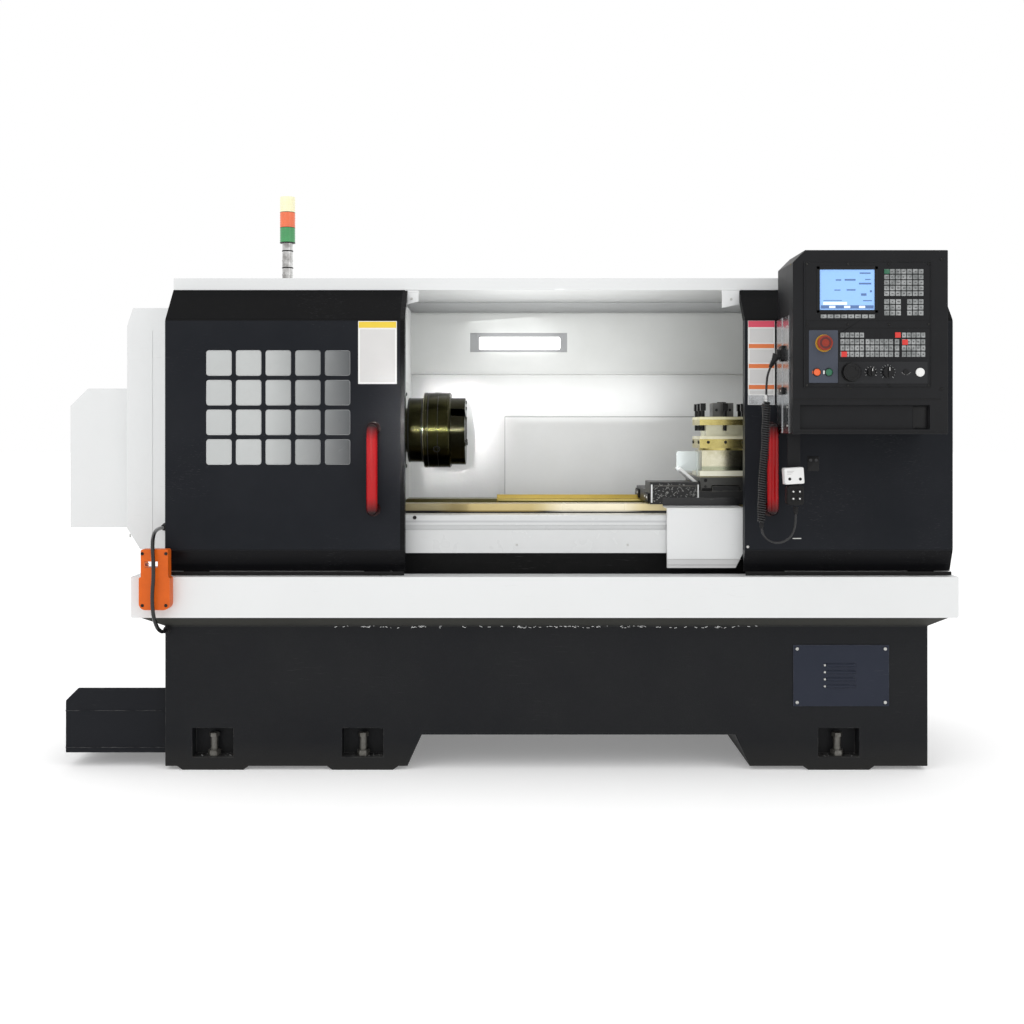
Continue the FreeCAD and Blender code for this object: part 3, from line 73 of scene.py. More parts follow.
class Graph:
    """A node tree with short calls for the nodes that the finishes use."""

    def __init__(self, tree: bpy.types.NodeTree) -> None:
        """Starts from an empty tree.

        Args:
            tree: the material's or the group's node tree.
        """
        self.tree = tree
        tree.nodes.clear()

    def feed(self, target: bpy.types.NodeSocket, value: Socket) -> None:
        """Links a socket into another, or sets a constant on it.

        Args:
            target: the input to fill.
            value: an output socket, a number or a vector.
        """
        if isinstance(value, bpy.types.NodeSocket):
            self.tree.links.new(value, target)
        elif target.type == "RGBA" and len(value) == 3:
            target.default_value = (*value, 1.0)
        else:
            target.default_value = value

    def node(self, kind: str, inputs: Optional[dict] = None, **settings: object) -> bpy.types.Node:
        """Adds a node.

        Args:
            kind: the node's type, without its ShaderNode prefix.
            inputs: input names or numbers and what goes into them.
            settings: properties of the node itself.

        Returns:
            The new node.
        """
        made = self.tree.nodes.new("ShaderNode" + kind)
        for key, value in settings.items():
            setattr(made, key, value)
        for key, value in (inputs or {}).items():
            self.feed(made.inputs[key], value)
        return made

    def math(self, operation: str, a: Socket, b: Socket = 0.0, clamp: bool = False) -> Socket:
        """Adds one sum of two values.

        Args:
            operation: the Math node's operation.
            a: the first value.
            b: the second value.
            clamp: whether the result stays between 0 and 1.

        Returns:
            The result's socket.
        """
        return self.node("Math", {0: a, 1: b}, operation=operation, use_clamp=clamp).outputs[0]

    def mix(self, factor: Socket, a: Socket, b: Socket) -> Socket:
        """Mixes two colours.

        Args:
            factor: how much of the second colour shows.
            a: the first colour.
            b: the second colour.

        Returns:
            The mixed colour's socket.
        """
        made = self.node("Mix", data_type="RGBA")
        for number, value in ((0, factor), (6, a), (7, b)):
            self.feed(made.inputs[number], value)
        return made.outputs[2]

    def lerp(self, factor: Socket, a: Socket, b: Socket) -> Socket:
        """Mixes two numbers.

        Args:
            factor: how much of the second number shows.
            a: the first number.
            b: the second number.

        Returns:
            The mixed number's socket.
        """
        return self.node("Mix", {0: factor, 2: a, 3: b}, data_type="FLOAT").outputs[0]

    def step(self, value: Socket, low: float, high: float) -> Socket:
        """Ramps smoothly from 0 to 1 between two values.

        Args:
            value: the value to read.
            low: where the ramp starts.
            high: where it ends.

        Returns:
            The ramp's socket.
        """
        return self.node("MapRange", {0: value, 1: low, 2: high, 3: 0.0, 4: 1.0},
                         interpolation_type="SMOOTHSTEP").outputs[0]


class Effects:
    """Shader groups that more than one finish uses, each built once."""

    built: dict[str, bpy.types.NodeTree] = {}

    @classmethod
    def start(cls, name: str, inputs: dict[str, str], output: str) -> tuple[Graph, bpy.types.Node,
                                                                           bpy.types.Node]:
        """Opens a new group with named sockets.

        Args:
            name: the group's name.
            inputs: socket names and their types.
            output: the name of the one value it puts out.

        Returns:
            The graph, the group's input node and its output node.
        """
        tree = bpy.data.node_groups.new(name, "ShaderNodeTree")
        for title, kind in inputs.items():
            tree.interface.new_socket(title, in_out="INPUT", socket_type="NodeSocket" + kind)
        tree.interface.new_socket(output, in_out="OUTPUT", socket_type="NodeSocketFloat")
        cls.built[name] = tree
        graph = Graph(tree)
        return graph, tree.nodes.new("NodeGroupInput"), tree.nodes.new("NodeGroupOutput")

    @classmethod
    def drift(cls) -> None:
        """Broad soft clouds, for the slow change of tone over a surface."""
        graph, given, out = cls.start("tone_drift", {
            "Vector": "Vector", "Scale": "Float", "Contrast": "Float"}, "Mask")
        cloud = graph.node("TexNoise", {"Vector": given.outputs[0], "Scale": given.outputs[1],
                                        "Detail": 5.0, "Roughness": 0.6})
        centred = graph.math("SUBTRACT", cloud.outputs[0], 0.5)
        spread = graph.math("MULTIPLY", centred, given.outputs[2])
        graph.feed(out.inputs[0], graph.math("ADD", spread, 0.5, clamp=True))

    @classmethod
    def relief(cls) -> None:
        """Fine relief, drawn out along an axis for ground or brushed metal."""
        graph, given, out = cls.start("fine_relief", {
            "Vector": "Vector", "Stretch": "Vector", "Scale": "Float"}, "Height")
        drawn = graph.node("VectorMath", {0: given.outputs[0], 1: given.outputs[1]},
                           operation="MULTIPLY")
        noise = graph.node("TexNoise", {"Vector": drawn.outputs[0], "Scale": given.outputs[2],
                                        "Detail": 3.0, "Roughness": 0.55})
        graph.feed(out.inputs[0], noise.outputs[0])

    @classmethod
    def scuffs(cls) -> None:
        """Short thin rubs in patches, as from hands, tools and swarf."""
        graph, given, out = cls.start("light_scuffs", {
            "Vector": "Vector", "Scale": "Float", "Amount": "Float"}, "Mask")
        marks = []
        for lean, seed in ((0.5, 0.0), (-0.9, 3.0)):
            turned = graph.node("Mapping", {"Vector": given.outputs[0],
                                            "Location": (seed, seed, seed),
                                            "Rotation": (lean, lean * 0.7, lean),
                                            "Scale": (1.0, 14.0, 14.0)})
            noise = graph.node("TexNoise", {"Vector": turned.outputs[0],
                                            "Scale": given.outputs[1], "Detail": 2.0})
            marks.append(graph.step(noise.outputs[0], 0.66, 0.74))
        patch = graph.node("TexNoise", {"Vector": given.outputs[0], "Scale": 5.0, "Detail": 4.0})
        both = graph.math("MAXIMUM", marks[0], marks[1])
        shown = graph.math("MULTIPLY", both, graph.step(patch.outputs[0], 0.45, 0.7))
        graph.feed(out.inputs[0], graph.math("MULTIPLY", shown, given.outputs[2]))

    @classmethod
    def dust(cls) -> None:
        """Fine dust that settles on what faces up, thicker in places."""
        graph, given, out = cls.start("settled_dust", {
            "Vector": "Vector", "Amount": "Float"}, "Mask")
        facing = graph.node("SeparateXYZ", {0: graph.node("NewGeometry").outputs["Normal"]})
        upward = graph.step(facing.outputs[2], 0.35, 1.0)
        cloud = graph.node("TexNoise", {"Vector": given.outputs[0], "Scale": 9.0,
                                        "Detail": 8.0, "Roughness": 0.7})
        shown = graph.math("MULTIPLY", upward, graph.step(cloud.outputs[0], 0.35, 0.75))
        graph.feed(out.inputs[0], graph.math("MULTIPLY", shown, given.outputs[1]))

    @classmethod
    def edges(cls) -> None:
        """Where an edge has been rubbed, from how far its rounded normal turns."""
        graph, given, out = cls.start("rubbed_edge", {
            "Vector": "Vector", "Radius": "Float", "Amount": "Float"}, "Mask")
        rounded = graph.node("Bevel", {"Radius": given.outputs[1]}, samples=4)
        flat = graph.node("NewGeometry")
        match = graph.node("VectorMath", {0: rounded.outputs[0], 1: flat.outputs["Normal"]},
                           operation="DOT_PRODUCT")
        turn = graph.step(graph.math("SUBTRACT", 1.0, match.outputs["Value"]), 0.02, 0.12)
        cloud = graph.node("TexNoise", {"Vector": given.outputs[0], "Scale": 30.0,
                                        "Detail": 6.0, "Roughness": 0.7})
        broken = graph.math("MULTIPLY", turn, graph.step(cloud.outputs[0], 0.42, 0.62))
        graph.feed(out.inputs[0], graph.math("MULTIPLY", broken, given.outputs[2]))

    @classmethod
    def slab(cls) -> None:
        """A mask that is 1 inside a box of space and fades at its faces."""
        graph, given, out = cls.start("box_mask", {
            "Vector": "Vector", "Low": "Vector", "High": "Vector", "Soft": "Float"}, "Mask")
        sides = []
        for first, second in ((0, 1), (2, 0)):
            gap = graph.node("VectorMath", {0: given.outputs[first], 1: given.outputs[second]},
                             operation="SUBTRACT")
            parts = graph.node("SeparateXYZ", {0: gap.outputs[0]})
            sides += [parts.outputs[axis] for axis in range(3)]
        nearest = sides[0]
        for side in sides[1:]:
            nearest = graph.math("MINIMUM", nearest, side)
        scaled = graph.math("DIVIDE", nearest, given.outputs[3])
        graph.feed(out.inputs[0], graph.math("ADD", scaled, 0.5, clamp=True))

    @classmethod
    def use(cls, graph: Graph, name: str, inputs: dict[str, Socket]) -> Socket:
        """Places a group in a material, building it if it is new.

        Args:
            graph: the material's graph.
            name: one of the groups above.
            inputs: the group's inputs for this material.

        Returns:
            The group's output socket.
        """
        if name not in cls.built:
            {"tone_drift": cls.drift, "fine_relief": cls.relief, "light_scuffs": cls.scuffs,
             "settled_dust": cls.dust, "rubbed_edge": cls.edges, "box_mask": cls.slab}[name]()
        made = graph.tree.nodes.new("ShaderNodeGroup")
        made.node_tree = cls.built[name]
        for key, value in inputs.items():
            graph.feed(made.inputs[key], value)
        return made.outputs[0]


# ------------------------------------------------------------------ finishes

class Grain(Enum):
    """The fine relief of a surface: stretch, scale in points a metre, depth in metres."""

    PEEL = ((1.0, 1.0, 1.0), 420.0, 0.00006)
    TEXTURED = ((1.0, 1.0, 1.0), 900.0, 0.00016)
    CAST = ((1.0, 1.0, 1.0), 260.0, 0.0004)
    GROUND_X = ((0.03, 1.0, 1.0), 1500.0, 0.00004)
    GROUND_Y = ((1.0, 0.03, 1.0), 1500.0, 0.00004)
    GROUND_Z = ((1.0, 1.0, 0.03), 1500.0, 0.00004)
    TURNED_X = ((1.0, 0.04, 0.04), 1400.0, 0.00007)
    MOULDED = ((1.0, 1.0, 1.0), 1400.0, 0.00004)
    GLOSS = ((1.0, 1.0, 1.0), 60.0, 0.00002)


@dataclass(frozen=True)
class Zone:
    """A box of space in which a finish changes."""

    low: Point
    high: Point
    colour: Colour
    roughness: Optional[float] = None
    metallic: Optional[float] = None
    soft: float = 0.002
    amount: float = 1.0


FAR = 9.0
IOR = 1.5
DUST: Colour = (0.55, 0.53, 0.5)
DUST_ROUGHNESS = 0.85
SCUFF_ROUGHNESS = 0.6


def above(height: float, colour: Colour, **extra: object) -> Zone:
    """A zone over everything above a height.

    Args:
        height: where the zone starts.
        colour: its colour.
        extra: the zone's other fields.

    Returns:
        The zone.
    """
    return Zone((-FAR, -FAR, height), (FAR, FAR, FAR), colour, **extra)


def below(height: float, colour: Colour, **extra: object) -> Zone:
    """A zone over everything below a height.

    Args:
        height: where the zone ends.
        colour: its colour.
        extra: the zone's other fields.

    Returns:
        The zone.
    """
    return Zone((-FAR, -FAR, -FAR), (FAR, FAR, height), colour, **extra)


@dataclass(frozen=True)
class Finish:
    """How one surface looks, from its paint or metal to its dust and wear."""

    name: str
    colour: Colour
    roughness: float = 0.45
    metallic: float = 0.0
    grain: Grain = Grain.PEEL
    tone: Optional[Colour] = None
    tone_scale: float = 3.0
    contrast: float = 2.0
    wave: float = 0.0
    scuff: float = 0.0
    scuff_colour: Colour = (0.5, 0.5, 0.5)
    scuff_scale: float = 20.0
    dust: float = 0.0
    edge: float = 0.0
    edge_colour: Colour = (0.45, 0.45, 0.45)
    edge_radius: float = 0.002
    gloss: float = 0.5
    coat: float = 0.0
    coat_roughness: float = 0.1
    glow: float = 0.0
    glow_colour: Colour = (1.0, 1.0, 1.0)
    alpha: float = 1.0
    zones: tuple[Zone, ...] = ()

    def material(self) -> bpy.types.Material:
        """The finish as a material, built the first time it is asked for.

        Returns:
            The material.
        """
        label = f"look_{self.name}"
        known = bpy.data.materials.get(label)
        if known:
            return known
        made = bpy.data.materials.new(label)
        made.use_nodes = True
        graph = Graph(made.node_tree)
        spot = graph.node("TexCoord").outputs["Object"]
        shader = graph.node("BsdfPrincipled", {
            "IOR": IOR, "Specular IOR Level": self.gloss,
            "Coat Weight": self.coat, "Coat Roughness": self.coat_roughness,
            "Alpha": self.alpha, "Emission Strength": self.glow,
            "Emission Color": self.glow_colour})
        colour, roughness, metallic = self.paint(graph, spot)
        graph.feed(shader.inputs["Base Color"], colour)
        graph.feed(shader.inputs["Roughness"], roughness)
        graph.feed(shader.inputs["Metallic"], metallic)
        graph.feed(shader.inputs["Normal"], self.relief(graph, spot))
        out = graph.node("OutputMaterial")
        graph.feed(out.inputs[0], shader.outputs[0])
        made.diffuse_color = (*self.colour, 1.0)
        return made

    def paint(self, graph: Graph, spot: Socket) -> tuple[Socket, Socket, Socket]:
        """Works out colour, roughness and metal over the surface.

        Args:
            graph: the material's graph.
            spot: the surface's place in the row frame.

        Returns:
            The colour, the roughness and how metallic it is.
        """
        drift = Effects.use(graph, "tone_drift", {
            "Vector": spot, "Scale": self.tone_scale, "Contrast": self.contrast})
        second = self.tone or tuple(channel * 0.9 for channel in self.colour)
        colour = graph.mix(drift, self.colour, second)
        roughness = graph.lerp(drift, self.roughness * 0.88, min(1.0, self.roughness * 1.12))
        metallic: Socket = self.metallic
        for zone in self.zones:
            mask = Effects.use(graph, "box_mask", {
                "Vector": spot, "Low": zone.low, "High": zone.high, "Soft": zone.soft})
            if zone.amount < 1.0:
                mask = graph.math("MULTIPLY", mask, zone.amount)
            shade = graph.mix(drift, zone.colour, tuple(part * 0.82 for part in zone.colour))
            colour = graph.mix(mask, colour, shade)
            if zone.roughness is not None:
                roughness = graph.lerp(mask, roughness, zone.roughness)
            if zone.metallic is not None:
                metallic = graph.lerp(mask, metallic, zone.metallic)
        if self.scuff:
            mask = Effects.use(graph, "light_scuffs", {
                "Vector": spot, "Scale": self.scuff_scale, "Amount": self.scuff})
            colour = graph.mix(mask, colour, self.scuff_colour)
            roughness = graph.lerp(mask, roughness, SCUFF_ROUGHNESS)
        if self.edge:
            mask = Effects.use(graph, "rubbed_edge", {
                "Vector": spot, "Radius": self.edge_radius, "Amount": self.edge})
            colour = graph.mix(mask, colour, self.edge_colour)
        if self.dust:
            mask = Effects.use(graph, "settled_dust", {"Vector": spot, "Amount": self.dust})
            colour = graph.mix(mask, colour, DUST)
            roughness = graph.lerp(mask, roughness, DUST_ROUGHNESS)
        return colour, roughness, metallic

    def relief(self, graph: Graph, spot: Socket) -> Socket:
        """The surface's normal, from its fine grain and its slow waves.

        Args:
            graph: the material's graph.
            spot: the surface's place in the row frame.

        Returns:
            The normal.
        """
        stretch, scale, depth = self.grain.value
        fine = Effects.use(graph, "fine_relief", {
            "Vector": spot, "Stretch": stretch, "Scale": scale})
        bump = graph.node("Bump", {"Height": fine, "Distance": depth, "Strength": 1.0})
        if self.wave:
            slow = Effects.use(graph, "fine_relief", {
                "Vector": spot, "Stretch": (1.0, 1.0, 1.0), "Scale": 4.0})
            bump = graph.node("Bump", {"Height": slow, "Distance": self.wave, "Strength": 1.0,
                                       "Normal": bump.outputs[0]})
        return bump.outputs[0]


WHITE: Colour = (0.755, 0.765, 0.765)


# ------------------------------------------------------------------ meshes

class Maker:
    """Gathers bevelled blocks, turned pieces and plates into one object."""

    def __init__(self, name: str, finishes: Iterable[Finish]) -> None:
        """Starts an empty piece.

        Args:
            name: the finished object's name.
            finishes: the finishes that its parts choose from by number.
        """
        self.name = name
        self.finishes = tuple(finishes)
        self.mesh = bmesh.new()

    def keep(self, part: bmesh.types.BMesh, paint: int, turn: Optional[Matrix] = None) -> None:
        """Adds a finished part to the piece.

        Args:
            part: the part's own mesh, which is freed.
            paint: which finish it takes.
            turn: a matrix to move it by first.
        """
        if turn is not None:
            bmesh.ops.transform(part, matrix=turn, verts=part.verts)
        bmesh.ops.recalc_face_normals(part, faces=part.faces)
        for face in part.faces:
            face.material_index = paint
        spare = bpy.data.meshes.new("part")
        part.to_mesh(spare)
        part.free()
        self.mesh.from_mesh(spare)
        bpy.data.meshes.remove(spare)

    def block(self, low: Point, high: Point, bevel: float = 0.001, paint: int = 0,
              turn: Optional[Matrix] = None, segments: int = 2) -> None:
        """Adds a block with rounded edges.

        Args:
            low: its lowest corner.
            high: its highest corner.
            bevel: how far the edges are rounded.
            paint: which finish it takes.
            turn: a matrix to move it by.
            segments: steps in each rounded edge.
        """
        part = bmesh.new()
        bmesh.ops.create_cube(part, size=1.0)
        low_v, high_v = Vector(low), Vector(high)
        size = high_v - low_v
        middle = (low_v + high_v) / 2
        bmesh.ops.transform(part, matrix=Matrix.Translation(middle) @ Matrix.Diagonal(
            (*size, 1.0)), verts=part.verts)
        width = min(bevel, min(size) * 0.45)
        if width > 0:
            bmesh.ops.bevel(part, geom=part.edges[:], offset=width, segments=segments,
                            profile=0.5, affect="EDGES")
        self.keep(part, paint, turn)

    def tile(self, x: tuple[float, float], z: tuple[float, float], face: float,
             paint: int = 0, proud: float = 0.0007) -> None:
        """Adds a thin field on a surface that looks forward.

        Args:
            x: its left and right edges.
            z: its lower and upper edges.
            face: the surface it lies on, along Y.
            paint: which finish it takes.
            proud: how far it stands off the surface.
        """
        self.block((x[0], face - proud, z[0]), (x[1], face, z[1]), proud * 0.3, paint,
                   segments=1)

    def turned(self, start: Point, axis: Point, profile: list[tuple[float, float]],
               paint: int = 0, sides: int = 40, ring_shaped: bool = False) -> None:
        """Adds a solid of revolution.

        Args:
            start: the point that the profile starts from.
            axis: the direction that it runs in.
            profile: pairs of the distance along the axis and the radius.
            paint: which finish it takes.
            sides: faces round the axis.
            ring_shaped: whether the profile is a loop that leaves the middle open.
        """
        part = bmesh.new()
        rings = []
        for along, radius in profile:
            ring = []
            for number in range(sides):
                angle = math.tau * number / sides
                ring.append(part.verts.new((radius * math.cos(angle),
                                            radius * math.sin(angle), along)))
            rings.append(ring)
        if ring_shaped:
            rings.append(rings[0])
        for lower, upper in zip(rings, rings[1:]):
            for number in range(sides):
                after = (number + 1) % sides
                part.faces.new((lower[number], lower[after], upper[after], upper[number]))
        if not ring_shaped:
            part.faces.new(rings[0][::-1])
            part.faces.new(rings[-1])
        bmesh.ops.remove_doubles(part, verts=part.verts, dist=1e-7)
        turn = Vector(axis).to_track_quat("Z", "Y").to_matrix().to_4x4()
        self.keep(part, paint, Matrix.Translation(Vector(start)) @ turn)

    def plate(self, outline: list[tuple[float, float]], plane: str, low: float, high: float,
              paint: int = 0, bevel: float = 0.0005, turn: Optional[Matrix] = None) -> None:
        """Adds a flat plate of any outline.

        Args:
            outline: its corners in the plane.
            plane: XY, XZ or YZ.
            low: where the plate starts along the third axis.
            high: where it ends.
            paint: which finish it takes.
            bevel: how far its edges are rounded.
            turn: a matrix to move it by.
        """
        part = bmesh.new()
        order = {"XY": (0, 1, 2), "XZ": (0, 2, 1), "YZ": (1, 2, 0)}[plane]

        def point(pair: tuple[float, float], level: float) -> Vector:
            """One corner in space at a level."""
            made = [0.0, 0.0, 0.0]
            made[order[0]], made[order[1]], made[order[2]] = pair[0], pair[1], level
            return Vector(made)

        base = part.faces.new([part.verts.new(point(pair, low)) for pair in outline])
        grown = bmesh.ops.extrude_face_region(part, geom=[base])
        raised = [item for item in grown["geom"] if isinstance(item, bmesh.types.BMVert)]
        bmesh.ops.translate(part, verts=raised, vec=point((0.0, 0.0), high - low))
        if bevel:
            bmesh.ops.bevel(part, geom=part.edges[:], offset=bevel, segments=2, profile=0.5,
                            affect="EDGES")
        self.keep(part, paint, turn)

    def screw(self, at: Point, axis: Point, radius: float = 0.005, paint: int = 0) -> None:
        """Adds a domed screw head with a hexagonal socket.

        Args:
            at: the middle of the head's foot.
            axis: the way that it faces.
            radius: the head's radius.
            paint: which finish it takes.
        """
        high = radius * 0.55
        self.turned(at, axis, [
            (0.0, radius), (high * 0.5, radius), (high * 0.85, radius * 0.86),
            (high, radius * 0.62), (high, radius * 0.5), (high * 0.35, radius * 0.46),
            (high * 0.3, 0.0)], paint, sides=18)

    def place(self, body: str, slot: str, smooth: float = 0.6) -> bpy.types.Object:
        """Ends the piece as an object that rides on a body.

        Args:
            body: the body it rides on.
            slot: not used.
            smooth: the angle above which an edge stays sharp.

        Returns:
            The new object.
        """
        data = bpy.data.meshes.new(self.name)
        self.mesh.to_mesh(data)
        self.mesh.free()
        for finish in self.finishes:
            data.materials.append(finish.material())
        data.shade_smooth()
        data.set_sharp_from_angle(angle=smooth)
        made = bpy.data.objects.new(self.name, data)
        bpy.context.scene.collection.objects.link(made)
        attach(made, body)
        LOG.info("%s: %d faces on %s", self.name, len(data.polygons), body)
        return made


def dress(looks: dict[str, Finish], rounding: float = 0.001) -> None:
    """Gives nodes of the frame their finish and rounds their hard edges.

    Args:
        looks: node names and their finishes.
        rounding: how far the edges are rounded.
    """
    for node, finish in looks.items():
        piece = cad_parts[node]
        piece.data.materials.clear()
        piece.data.materials.append(finish.material())
        if rounding:
            weld = piece.modifiers.new("weld", "WELD")
            weld.merge_threshold = 0.00002
            rounded = piece.modifiers.new("rounding", "BEVEL")
            rounded.width = rounding
            rounded.segments = 2
            rounded.limit_method = "ANGLE"
            rounded.angle_limit = math.radians(40)
            rounded.harden_normals = False
            even = piece.modifiers.new("normals", "WEIGHTED_NORMAL")
            even.keep_sharp = True
        LOG.info("%s: %s", node, finish.name)


CORNER_STEPS = 4


def rounded(x: tuple[float, float], z: tuple[float, float],
            radius: float) -> list[tuple[float, float]]:
    """The outline of a rectangle with rounded corners.

    Args:
        x: its two ends along the first axis.
        z: its two ends along the second.
        radius: the corners' radius.

    Returns:
        The outline's points, in order.
    """
    points = []
    for across, up, start in ((x[1], z[0], 270), (x[1], z[1], 0), (x[0], z[1], 90),
                              (x[0], z[0], 180)):
        middle = (across - radius if across == x[1] else across + radius,
                  up - radius if up == z[1] else up + radius)
        for number in range(CORNER_STEPS + 1):
            angle = math.radians(start + 90 * number / CORNER_STEPS)
            points.append((middle[0] + radius * math.cos(angle),
                           middle[1] + radius * math.sin(angle)))
    return points


# ------------------------------------------------------------------ studio

@dataclass
class Studio:
    """The plain floor, soft lights and camera round the machine."""

    eye: Point = (0.035, -4.47, 1.062)
    lens: float = 45.35
    drop: float = -0.08
    sky: float = 1.0

    def build(self) -> None:
        """Makes the camera, the floor and the lights."""
        data = bpy.data.cameras.new("camera")
        data.lens = self.lens
        data.shift_y = self.drop
        data.clip_end = 200.0
        camera = bpy.data.objects.new("camera", data)
        camera.location = self.eye
        camera.rotation_euler = (math.radians(90), 0.0, 0.0)
        bpy.context.scene.collection.objects.link(camera)
        bpy.context.scene.camera = camera
        bpy.context.scene.view_settings.view_transform = "Standard"
        self.floor()
        self.air()
        self.softbox("key", (-2.6, -4.2, 3.9), (0.0, -0.4, 0.9), 3.0, 20.0)
        self.softbox("fill", (3.6, -4.4, 2.6), (0.2, -0.4, 0.9), 2.6, 9.0)
        self.softbox("top", (0.0, -0.4, 4.6), (0.0, 0.0, 1.0), 3.4, 13.0)
        self.softbox("back", (0.6, 4.6, 3.4), (0.0, 0.4, 1.0), 3.0, 7.0)
        self.softbox("inside", (0.06, 0.02, 1.49), (0.1, 0.0, 0.9), 0.6, 1.1)
        self.softbox("upward", (0.20, -0.05, 1.18), (0.20, 0.02, 1.5), 0.8, 2.2)
        self.softbox("rearward", (0.24, -0.27, 1.04), (0.22, 0.40, 1.00), 0.7, 1.5)
        self.softbox("glint", (-0.26, -4.1, 1.20), (-0.24, -0.2, 1.062), 0.12, 0.13, 7.0)

    def floor(self) -> None:
        """A wide pale floor."""
        mesh = bmesh.new()
        bmesh.ops.create_circle(mesh, cap_ends=True, segments=64, radius=60.0)
        data = bpy.data.meshes.new("floor")
        mesh.to_mesh(data)
        mesh.free()
        data.materials.append(Finish("studio_floor", (0.94, 0.94, 0.94), 0.8,
                                     grain=Grain.GLOSS, tone=(0.93, 0.93, 0.93), gloss=0.0,
                                     glow=0.22).material())
        floor = bpy.data.objects.new("floor", data)
        bpy.context.scene.collection.objects.link(floor)
        floor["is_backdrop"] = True

    def air(self) -> None:
        """An even white surround."""
        world = bpy.data.worlds.new("surround")
        world.use_nodes = True
        shade = world.node_tree.nodes["Background"]
        shade.inputs["Color"].default_value = (1.0, 1.0, 1.0, 1.0)
        shade.inputs["Strength"].default_value = self.sky
        bpy.context.scene.world = world

    def softbox(self, name: str, at: Point, aim: Point, size: float, power: float,
                spread: float = 180.0) -> None:
        """Hangs one soft lamp.

        Args:
            name: the lamp's name.
            at: where it hangs.
            aim: the point that it faces.
            size: the side of its face.
            power: its power in watts.
            spread: how wide its beam is, in degrees.
        """
        data = bpy.data.lights.new(name, "AREA")
        data.shape = "SQUARE"
        data.size = size
        data.energy = power
        data.spread = math.radians(spread)
        data.specular_factor = 0.4 if spread > 90.0 else 1.0
        lamp = bpy.data.objects.new(name, data)
        lamp.location = at
        lamp.rotation_euler = (Vector(aim) - Vector(at)).to_track_quat("-Z", "Y").to_euler()
        bpy.context.scene.collection.objects.link(lamp)


# ------------------------------------------------------------------ cords

SHEATH = Finish("cord_sheath", (0.006, 0.006, 0.0065), 0.24, grain=Grain.MOULDED, gloss=0.22,
                tone=(0.012, 0.012, 0.013), coat=0.5, coat_roughness=0.12)
NYLON = Finish("black_nylon", (0.007, 0.007, 0.0075), 0.42, grain=Grain.MOULDED,
               gloss=0.25)
PLATED = Finish("bright_plating", (0.68, 0.68, 0.67), 0.24, 1.0, grain=Grain.TURNED_X,
                tone=(0.52, 0.52, 0.52), tone_scale=25.0)

LEAD: list[Point] = [(0.822, -0.585, 1.268), (0.806, -0.586, 1.240), (0.800, -0.588, 1.196),
                     (0.800, -0.588, 1.152)]
CURL: list[Point] = [(0.800, -0.588, 1.152), (0.800, -0.588, 1.028), (0.786, -0.590, 0.904),
                     (0.786, -0.590, 0.780)]
TAIL: list[Point] = [(0.786, -0.590, 0.780), (0.786, -0.590, 0.756), (0.800, -0.594, 0.734),
                     (0.824, -0.600, 0.723), (0.850, -0.608, 0.727), (0.870, -0.614, 0.744),
                     (0.880, -0.619, 0.770), (0.882, -0.620, 0.802), (0.882, -0.620, 0.833)]
GUARD_CABLE: list[Point] = [
    (-1.075, -0.330, 0.752), (-1.075, -0.385, 0.752), (-1.073, -0.443, 0.752),
    (-1.067, -0.503, 0.743), (-1.060, -0.544, 0.716), (-1.053, -0.557, 0.668),
    (-1.053, -0.556, 0.612), (-1.057, -0.555, 0.566), (-1.057, -0.553, 0.526),
    (-1.054, -0.551, 0.493), (-1.050, -0.532, 0.461), (-1.046, -0.500, 0.441),
    (-1.042, -0.469, 0.438), (-1.042, -0.440, 0.438)]


